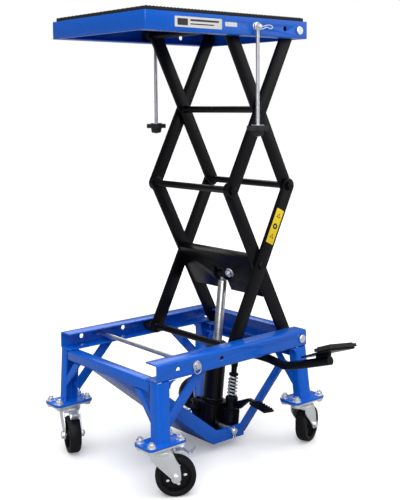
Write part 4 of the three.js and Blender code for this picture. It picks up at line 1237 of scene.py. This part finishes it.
    def tubes(self) -> None:
        """The cross tubes with a weld bead at each end."""
        rows = (("lower_axle", "lower_outer_arms"), ("middle_front", "lower_inner_arms"),
                ("middle_rear", "upper_inner_arms"), ("upper_centre", "upper_inner_arms"),
                ("upper_axle", "upper_inner_arms"))
        for name, body in rows:
            low, high = node_box(f"tube_{name}")
            place = along_y((low.x + high.x) / 2, (low.z + high.z) / 2)
            r, a, b = self.tube_radius, low.y, high.y
            bead = 1.8
            profile = [(0, a), (r + bead, a), (r + 0.8 * bead, a + 0.9), (r + 0.25 * bead, a + 1.9),
                       (r, a + 3), (r, b - 3), (r + 0.25 * bead, b - 1.9), (r + 0.8 * bead, b - 0.9),
                       (r + bead, b), (0, b)]
            shape = Shape().add(Shape.lathe(profile, 36), place)
            publish(f"cross_tube_{name}", shape, body, BLACK, (f"tube_{name}",))

    def bracket(self) -> None:
        """The ram's bracket between the lower inner arms."""
        shape = Shape.from_node("jack_bracket", 0.6)
        publish("ram_bracket", shape, "lower_inner_arms", BLACK, ("jack_bracket",))
        self.bracket_bolt()

    def bracket_bolt(self) -> None:
        """The plated bolt with its washer that stands square on the bracket's plate."""
        low, high = node_box("arm_lower_inner_near")
        rise = high.z - low.z - self.width
        run = high.x - low.x - self.width
        along = Vector((-run, 0, rise)).normalized()
        normal = Vector((-along.z, 0, along.x))
        seat = self.base_pivot + along * self.bolt_seat[0] + normal * self.bolt_seat[1]
        seat.y += self.bolt_side
        across = Vector((0, 1, 0))
        rows = [(along[i], across[i], normal[i], seat[i]) for i in range(3)]
        washer = [(0, -0.2), (9.6, -0.2), (10.2, 0.4), (10.2, 1.2), (9.6, 1.8), (0, 1.8)]
        bolt = Shape().add(Shape.lathe(washer, 40))
        bolt.add(Shape.hexagon(15.0, 1.6, 8.0))
        bolt.add(Shape.round_bar(4.0, 7.6, 11.0, 0.8))
        bolt.moved(Matrix((*rows, (0, 0, 0, 1))))
        publish("bracket_bolt", bolt, "lower_inner_arms", ZINC)


# ---------------------------------------------------------------- platform


@dataclass
class Platform:
    """The pan, its studded mat, blank labels, hold-down rods with their pins, clips and knobs."""

    studs: StudTree
    coil: CoilTree
    stud_pitch: float = 8.0
    stud_radius: float = 2.6
    stud_height: float = 1.2
    rod_radius: float = 3.6
    thread_height: float = 60.0
    thread_pitch: float = 1.6
    knob_radius: float = 20.0
    knob_lobes: int = 6

    def build(self) -> None:
        """Builds the platform's pieces."""
        self.pan = node_box("platform_pan")
        pan = Shape.from_node("platform_pan", 0.7)
        publish("pan_painted", pan, "platform", BLUE, ("platform_pan",))
        self.mat()
        self.labels()
        for side in Side:
            self.rod(side)
            self.pin(side)
            self.knob(side)

    def mat(self) -> None:
        """The rubber mat: a round-edged sheet with a staggered field of studs."""
        low, high = node_box("platform_mat")
        centre = (low + high) / 2
        half_x, half_y = (high.x - low.x) / 2, (high.y - low.y) / 2
        top = high.z - self.stud_height
        sheet = Shape.plate(rounded_rectangle(half_x, half_y, 6, 8), [], low.z, top, 1.6)
        shape = Shape().add(sheet, Matrix.Translation((centre.x, centre.y, 0)))
        points: list[Point3] = []
        row_pitch = self.stud_pitch * 0.866  # rows of a triangular grid
        rows = int((2 * half_y - 8) / row_pitch)
        for row in range(rows + 1):
            y = low.y + 4 + row * row_pitch
            start = low.x + 5 + (row % 2) * self.stud_pitch / 2
            columns = int((high.x - 5 - start) / self.stud_pitch)
            points += [(start + k * self.stud_pitch, y, top - 0.05) for k in range(columns + 1)]
        field = self.studs.grow(points, MAT, Radius=self.stud_radius, Height=self.stud_height)
        shape.add(field)
        publish("studded_mat", shape, "platform", MAT, ("platform_mat",))

    def labels(self) -> None:
        """Blank labels with plain bars on the near skirt."""
        y = self.pan[0].y
        base = self.pan[0].z
        left = self.pan[0].x
        rows = (
            ("plate_long", LABEL_WHITE, left + 66, left + 178, base + 7.5, base + 26.5),
            ("plate_small", LABEL_WHITE, left + 186, left + 216, base + 14, base + 22),
        )
        for name, finish, x0, x1, z0, z1 in rows:
            outline = rounded_rectangle((x1 - x0) / 2, (z1 - z0) / 2, 1.4, 4)
            sheet = Shape.plate(outline, [], 0, 0.35, 0.1)
            place = Matrix.Translation(((x0 + x1) / 2, y, (z0 + z1) / 2)) @ ON_XZ
            publish(f"label_{name}", Shape().add(sheet, place), "platform", finish)
        bars = Shape()
        for x0, x1, z0, z1 in ((72, 96, 11, 23), (102, 170, 19, 22.5), (102, 158, 13, 15)):
            bar = Shape.plate([(left + x0, base + z0), (left + x1, base + z0), (left + x1, base + z1),
                               (left + x0, base + z1)], [], 0.3, 0.5, 0)
            bars.add(bar, Matrix.Translation((0, y, 0)) @ ON_XZ)
        publish("label_bars", bars, "platform", LABEL_INK)

    def rod(self, side: Side) -> None:
        """A hold-down rod: a bent eye, a plain shank, a rolled thread and a washer."""
        s = side.label
        hang = joint_place(f"tie_rod_{s}_swing")
        node = f"tie_rod_{s}"
        low = node_box(node)[0]
        shape = Shape()
        eye = [(hang.x + 6.2 * math.cos(a), hang.y, hang.z + 6.2 * math.sin(a))
               for a in [TURN * i / 28 for i in range(28)]]
        shape.add(Shape.sweep(eye, 2.6, 14, closed=True))
        shank = Shape.round_bar(self.rod_radius, low.z, hang.z - 7.4, 0.8)
        shape.add(shank, Matrix.Translation((hang.x, hang.y, 0)))
        knob_top = node_box(f"tie_knob_{s}")[1].z
        thread = self.coil.grow(
            [(0, 0, 0)], STEEL, Turns=self.thread_height / self.thread_pitch,
            Radius=self.rod_radius - 0.1, Height=self.thread_height, Wire_Radius=0.45, Steps=14)
        shape.add(thread, Matrix.Translation((hang.x, hang.y, knob_top + 3)))
        washer = [(0, knob_top + 0.4), (12, knob_top + 0.4), (12.5, knob_top + 0.8), (12.5, knob_top + 2),
                  (12, knob_top + 2.4), (0, knob_top + 2.4)]
        shape.add(Shape.lathe(washer, 40), Matrix.Translation((hang.x, hang.y, 0)))
        publish(f"hold_down_rod_{s}", shape, node, STEEL, (node,))

    def pin(self, side: Side) -> None:
        """The rod's pin with its collar, its inner head and a hair clip."""
        s = side.label
        hang = joint_place(f"tie_rod_{s}_swing")
        node = f"tie_pin_{s}"
        skirt = self.pan[0].y if side is Side.NEAR else self.pan[1].y
        hand = MIRROR_Y if side is Side.NEAR else Matrix.Identity(4)
        place = Matrix.Translation((hang.x, skirt, hang.z)) @ hand @ Matrix.Rotation(-math.pi / 2, 4, "X")
        shape = Shape().add(Shape.round_bar(3.8, -5, 17, 0.9), place)
        shape.add(Shape.lathe([(0, -6), (7.4, -6), (8, -5.4), (8, -3.6), (0, -3.6)], 32), place)
        shape.add(Shape.lathe([(3.0, 0.3), (8, 0.3), (8, 2.9), (7.4, 3.4), (3.0, 3.4)], 32), place)
        y = skirt + side.value * 14
        x, z = hang.x, hang.z
        wire = smooth_path([(x - 10, y, z + 0.6), (x, y, z), (x + 9, y, z + 0.4), (x + 17, y, z + 2.6),
                            (x + 27, y, z + 3.2), (x + 33, y, z), (x + 28, y, z - 3.4), (x + 17, y, z - 1),
                            (x + 8, y, z - 4.4), (x, y, z - 5.4), (x - 8, y, z - 4.6)], 6)
        shape.add(Shape.sweep(wire, 1.0, 10))
        publish(f"rod_pin_{s}", shape, "platform", ZINC, (node,))

    def knob(self, side: Side) -> None:
        """A lobed clamping knob with a soft top edge and a tapered hub."""
        s = side.label
        node = f"tie_knob_{s}"
        at = joint_place(f"tie_knob_{s}_spin")
        low, high = node_box(node)
        steps = 96
        outline = []
        for i in range(steps):
            a = TURN * i / steps
            r = self.knob_radius + 2.2 * math.cos(self.knob_lobes * a)
            outline.append((r * math.cos(a), r * math.sin(a)))
        head = Shape.plate(outline, [circle(0, 0, 4.2, 24)], high.z - 9, high.z, 1.8)
        shape = Shape().add(head, Matrix.Translation((at.x, at.y, 0)))
        hub = [(4.2, low.z), (8.4, low.z), (9.2, low.z + 0.8), (10.5, low.z + 2),
               (12, high.z - 8.5), (4.2, high.z - 8.5)]
        shape.add(Shape.lathe(hub, 40), Matrix.Translation((at.x, at.y, 0)))
        publish(f"clamp_knob_{s}", shape, node, KNOB, (node,))


# ---------------------------------------------------------------- jack and pedals


@dataclass
class Jack:
    """The hydraulic jack, its foot pump with spring and lever, and the release pedal."""

    coil: CoilTree
    ribs: RibTree
    cylinder_radius: float = 21.5
    cylinder_top: float = 172.0
    ram_radius: float = 9.4
    block_top: float = 46.0
    pump_top: float = 64.0
    spring_top: float = 107.0
    pump: Point2 = (12.0, -46.0)
    fulcrum: Point2 = (-30.0, 143.0)
    pedal_start: Point2 = (-236.0, 184.0)
    pedal_angle: float = math.radians(21)
    lever_radius: float = 8.5
    length: float = math.hypot(38.0, 314.0)

    def build(self) -> None:
        """Builds the jack's pieces on the jack's own axes."""
        foot = joint_place("jack_tilt")
        up = Vector(joint("ram_stroke")["axis"]).normalized()
        across = Vector(joint("pump_lever_press")["axis"]).normalized()
        side = up.cross(across)
        rows = [[across[i], side[i], up[i], foot[i]] for i in range(3)]
        self.place = Matrix((*rows, (0, 0, 0, 1)))
        self.base()
        self.cylinder()
        self.ram()
        self.plunger()
        self.spring()
        self.lever()
        self.pad()
        self.release()

    def base(self) -> None:
        """The ribbed cast block with its pump barrel, valve and cap screws."""
        block = Shape.plate(rounded_rectangle(32, 32, 9, 8), [], -9, self.block_top, 1.8)
        shape = Shape().add(block)
        px, py = self.pump
        shape.add(Shape.block((px - 15, py - 13, -9), (px + 15, -20, self.block_top - 8), 2.4))
        top = self.pump_top
        barrel = [(6.4, 20), (11, 20), (12, 21), (12, top - 9), (13.2, top - 8),
                  (13.2, top - 3), (12, top - 2), (11.2, top), (6.4, top)]
        shape.add(Shape.lathe(barrel, 40), Matrix.Translation((px, py, 0)))
        valve = along_x(6, 30)
        stem = [(0, -50), (5, -50), (6, -49), (6, -44), (9.5, -43), (9.5, -37), (8, -36), (8, -25), (0, -25)]
        shape.add(Shape.lathe(stem, 32), valve)
        shape.add(Shape.hexagon(16, -47, -39), valve)
        for y in (-21, -7, 7, 21):
            shape.add(Shape.block((-34.5, y - 2.2, -6), (-30, y + 2.2, self.block_top - 5), 1.0))
        for x in (-18, 0):
            shape.add(Shape.block((x - 2.2, -34.5, -6), (x + 2.2, -30, self.block_top - 5), 1.0))
        shape.add(Shape.block((-33.2, -33.2, self.block_top - 7), (33.2, 33.2, self.block_top - 2), 1.2))
        for x, y in ((-22, -22), (-22, 22), (22, 22)):
            screw = Shape.hexagon(8, self.block_top - 0.2, self.block_top + 4)
            shape.add(screw, Matrix.Translation((x, y, 0)))
        publish("jack_block", shape.moved(self.place), "jack_body", BLACK, ("jack_base",))

    def cylinder(self) -> None:
        """The cylinder: tube, lower collar, ribbed gland nut and the lever's fulcrum lug."""
        r, top = self.cylinder_radius, self.cylinder_top
        foot, bore = self.block_top, self.ram_radius + 0.5
        profile = [(0, foot - 1), (r + 1.6, foot - 1), (r + 1.6, foot + 5), (r + 0.4, foot + 6.4),
                   (r - 0.2, foot + 7), (r - 0.2, top - 20), (r, top - 19), (r, top - 14),
                   (r - 1.6, top - 12.6), (r - 1.6, top - 11), (r - 0.6, top - 10), (r - 0.6, top - 4),
                   (r - 2, top - 2.4), (r - 5, top), (bore, top), (bore, top - 4), (0, top - 4)]
        shape = Shape().add(Shape.lathe(profile, 64))
        fy, fz = self.fulcrum
        lug = Shape.plate(rounded_link((-14, fz), (fy, fz), 7), [], self.pump[0] - 4, self.pump[0] + 4, 0.8)
        shape.add(lug, ON_YZ)
        publish("jack_tube", shape.moved(self.place), "jack_body", BLACK, ("jack_cylinder",))

    def ram(self) -> None:
        """The satin chromed ram, necked under a black eye."""
        length, radius = self.length, self.ram_radius
        shape = Shape().add(Shape.lathe([
            (0, 100), (radius, 100), (radius, length - 16), (radius - 0.8, length - 14.6),
            (5.5, length - 13), (5.5, length - 5), (0, length - 5)], 48))
        eye = [(6.6, -9), (8.9, -9), (9.5, -8.4), (9.5, 8.4), (8.9, 9), (6.6, 9)]
        knuckle = Shape().add(Shape.lathe(eye, 40), along_y(0, length))
        publish("ram_eye", knuckle.moved(self.place), "jack_ram", BLACK)
        publish("ram_rod", shape.moved(self.place), "jack_ram", CHROME, ("jack_ram",))

    def plunger(self) -> None:
        """The pump's plunger with its collar and clevis eye."""
        px, py = self.pump
        fz = self.fulcrum[1]
        axis = Matrix.Translation((px, py, 0))
        shape = Shape().add(Shape.round_bar(6, self.pump_top - 20, fz - 11, 0.6), axis)
        low = self.spring_top + 0.3
        collar = [(0, low), (9.4, low), (10, low + 0.6), (10, low + 4.4), (9.4, low + 5), (0, low + 5)]
        shape.add(Shape.lathe(collar, 40), axis)
        outline = rounded_link((py, fz - 14), (py, fz), 6.5)
        eye = Shape.plate(outline, [circle(py, fz, 4.3, 24)], px - 4, px + 4, 0.6)
        shape.add(eye, ON_YZ)
        shape.moved(self.place)
        publish("plunger_rod", shape, "pump_plunger", BLACK, ("pump_plunger",))

    def spring(self) -> None:
        """The pump's return spring as one rigid coil at its rest length; it is not squeezed as the plunger
        goes down.
        """
        px, py = self.pump
        wire = 1.9
        height = self.spring_top - self.pump_top - 2 * (wire + 0.3)
        coil = self.coil.grow([(0, 0, 0)], STEEL, Turns=5.5, Radius=8.9,
                              Height=height, Wire_Radius=wire, Steps=26)
        shape = Shape().add(coil, Matrix.Translation((px, py, self.pump_top + wire + 0.3)))
        shape.moved(self.place)
        spring = publish("return_spring", shape, "jack_body", STEEL, ("pump_spring",))
        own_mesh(spring)

    def lever(self) -> None:
        """The lever: two cheeks, a bent tube under the rail, a foot plate and its gusset."""
        x = self.pump[0]
        path = smooth_path([(x, -58, 152), (x, -96, 162), (x, -138, 163.5), (x, -172, 160.5),
                            (x, -196, 160.5), (x, -250, 176.5), (x, -304, 194)], 9)
        shape = Shape().add(Shape.sweep(path, self.lever_radius, 28))
        fy, fz = self.fulcrum
        cheek = [(fy + 6.5, fz - 6), (fy + 6.5, fz + 6), (fy - 4, fz + 9), (-64, 162), (-66, 146),
                 (self.pump[1] - 8, fz - 7), (fy, fz - 7)]
        for start in (x - 8.5, x + 5):
            shape.add(Shape.plate(cheek, [], start, start + 3.5, 0.7), ON_YZ)
        for y in (fy, self.pump[1]):
            shape.add(Shape.round_bar(3.0, x - 10, x + 10, 0.5), along_x(y, fz))
        wings = [(-13, 0), (13, 0), (36, -76), (36, -96), (-36, -96), (-36, -76)]
        shape.add(Shape.plate(wings, [], 0, 3.5, 0.8), self.pedal_frame())
        gusset = Shape.plate([(-270, 178), (-302, 188), (-302, 211), (-270, 199)], [], x - 4, x + 4, 0.7)
        shape.add(gusset, ON_YZ)
        publish("lever_arm", shape.moved(self.place), "pump_lever", BLACK, ("pump_lever",))

    def pedal_frame(self) -> Matrix:
        """Where the foot plate stands on the jack's axes."""
        y, z = self.pedal_start
        return Matrix.Translation((self.pump[0] + 6, y, z)) @ Matrix.Rotation(-self.pedal_angle, 4, "X")

    def pad(self) -> None:
        """The ribbed rubber pad on the foot plate."""
        body = Shape.plate(rounded_rectangle(38, 22, 4, 6), [], 0, 6, 1.4)
        shape = Shape().add(body)
        rows = [(0.0, v, 7.2) for v in (-15, -10, -5, 0, 5, 10, 15)]
        ribs = self.ribs.grow(rows, MAT, Length=66.0, Width=2.6, Height=2.6)
        shape.add(ribs.softened(0.7, 2, 40))
        frame = self.pedal_frame() @ Matrix.Translation((0, -80, 3.8))
        shape.moved(self.place @ frame)
        publish("pedal_pad", shape, "pump_lever", MAT, ("pump_pedal_pad",))

    def release(self) -> None:
        """The release pedal: a bent neck and a ribbed tread."""
        x = self.pump[0]
        y, z = -66.0, 50.0
        neck = [(y + 6, z - 6), (y + 6, z + 6), (-98, 72), (-118, 69), (-118, 65), (-98, 66), (y - 8, z - 6)]
        shape = Shape().add(Shape.plate(neck, [], x - 5, x + 5, 0.8), ON_YZ)
        slope = (Matrix.Translation((0, -112, 66)) @ Matrix.Rotation(math.radians(9), 4, "X")
                 @ Matrix.Translation((0, 112, -66)))
        shape.add(Shape.block((x - 14, -158, 64), (x + 14, -112, 69), 1.4), slope)
        rows = [(x, v, 70.2) for v in (-153, -146, -139, -132, -125, -118)]
        ribs = self.ribs.grow(rows, BLACK, Length=24.0, Width=2.6, Height=2.8)
        shape.add(ribs.softened(0.6, 2, 40), slope)
        shape.moved(self.place)
        publish("release_lever", shape, "release_pedal", BLACK, ("release_pedal",))


# ---------------------------------------------------------------- studio


@dataclass
class Studio:
    """Pale floor, soft lights, the world and the camera."""

    eye: Point3 = (-1149.1, -1320.6, 707.6)
    azimuth: float = math.radians(-40.33)
    drop: float = math.radians(-4.94)
    roll: float = math.radians(-0.4)
    focal: float = 888.8
    image_height: float = 500.0
    rise: float = 68.6
    sensor: float = 36.0
    ambient: float = 0.2
    sun: float = 2.5
    backdrop: float = 1.0

    def build(self) -> None:
        """Builds floor, lights, world and camera."""
        self.floor()
        self.lights()
        self.camera()

    def floor(self) -> None:
        """A wide pale flat floor, just under the wheels."""
        shape = Shape()
        bmesh.ops.create_grid(shape.bm, x_segments=2, y_segments=2, size=14000.0)
        shape.moved(Matrix.Translation((0, 0, -0.2)))
        mesh = bpy.data.meshes.new("studio_floor")
        bmesh.ops.scale(shape.bm, vec=(MM,) * 3, verts=shape.bm.verts)
        shape.bm.to_mesh(mesh)
        shape.bm.free()
        floor = bpy.data.objects.new("studio_floor", mesh)
        floor.data.materials.append(FLOOR.material())
        bpy.context.scene.collection.objects.link(floor)

    def lights(self) -> None:
        """Four soft square lights, an overhead sun and a world that only the camera sees as white."""
        rows = (
            ("key", (-2.2, -2.6, 2.2), 2.0, 52.0),
            ("fill", (2.6, -2.0, 1.5), 2.0, 14.0),
            ("back", (1.6, 2.6, 2.4), 2.0, 24.0),
            ("top", (0.0, 0.0, 3.2), 2.4, 6.0),
        )
        for name, place, size, power in rows:
            lamp = bpy.data.lights.new(f"{name}_light", "AREA")
            lamp.shape = "SQUARE"
            lamp.size = size
            lamp.energy = power
            holder = bpy.data.objects.new(f"{name}_light", lamp)
            holder.location = place
            aim = Vector((0, 0, 0.4)) - Vector(place)
            holder.rotation_euler = aim.to_track_quat("-Z", "Y").to_euler()
            bpy.context.scene.collection.objects.link(holder)
        overhead = bpy.data.lights.new("overhead", "SUN")
        overhead.energy = self.sun
        overhead.angle = math.radians(70)
        sky_light = bpy.data.objects.new("overhead", overhead)
        sky_light.rotation_euler = (math.radians(10), math.radians(-8), 0)
        bpy.context.scene.collection.objects.link(sky_light)
        world = bpy.data.worlds.new("studio_world")
        world.use_nodes = True
        graph = NodeGraph(world.node_tree)
        sky = world.node_tree.nodes["Background"]
        rays = graph.add("ShaderNodeLightPath")
        strength = graph.add("ShaderNodeMapRange", {"To Min": self.ambient, "To Max": self.backdrop})
        graph.link(rays.outputs["Is Camera Ray"], strength.inputs["Value"])
        sky.inputs["Color"].default_value = (1.0, 1.0, 1.0, 1.0)
        graph.link(strength.outputs["Result"], sky.inputs["Strength"])
        bpy.context.scene.world = world
        bpy.context.scene.view_settings.view_transform = "Standard"

    def camera(self) -> None:
        """The camera: place, aim, lens and a small shift."""
        data = bpy.data.cameras.new("camera")
        data.sensor_width = self.sensor
        data.lens = self.focal / self.image_height * self.sensor
        data.shift_y = -self.rise / self.image_height
        data.clip_end = 60.0
        holder = bpy.data.objects.new("camera", data)
        holder.location = Vector(self.eye) * MM
        aim = Vector((-math.sin(self.azimuth) * math.cos(self.drop),
                      math.cos(self.azimuth) * math.cos(self.drop), math.sin(self.drop)))
        turn = aim.to_track_quat("-Z", "Y") @ Matrix.Rotation(self.roll, 3, "Z").to_quaternion()
        holder.rotation_mode = "QUATERNION"
        holder.rotation_quaternion = turn
        bpy.context.scene.collection.objects.link(holder)
        bpy.context.scene.camera = holder


def main() -> None:
    """Builds every sub-assembly in order."""
    logging.basicConfig(level=logging.INFO, format="%(message)s")
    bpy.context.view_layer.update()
    Studio().build()
    bolts = BoltTree()
    studs = StudTree()
    coil = CoilTree()
    ribs = RibTree()
    BaseFrame().build()
    for corner in ("front_near", "front_far", "rear_near", "rear_far"):
        Caster(corner, corner.startswith("front"), bolts).build()
    Scissor().build()
    Platform(studs, coil).build()
    Jack(coil, ribs).build()


if __name__ == "__main__":
    main()
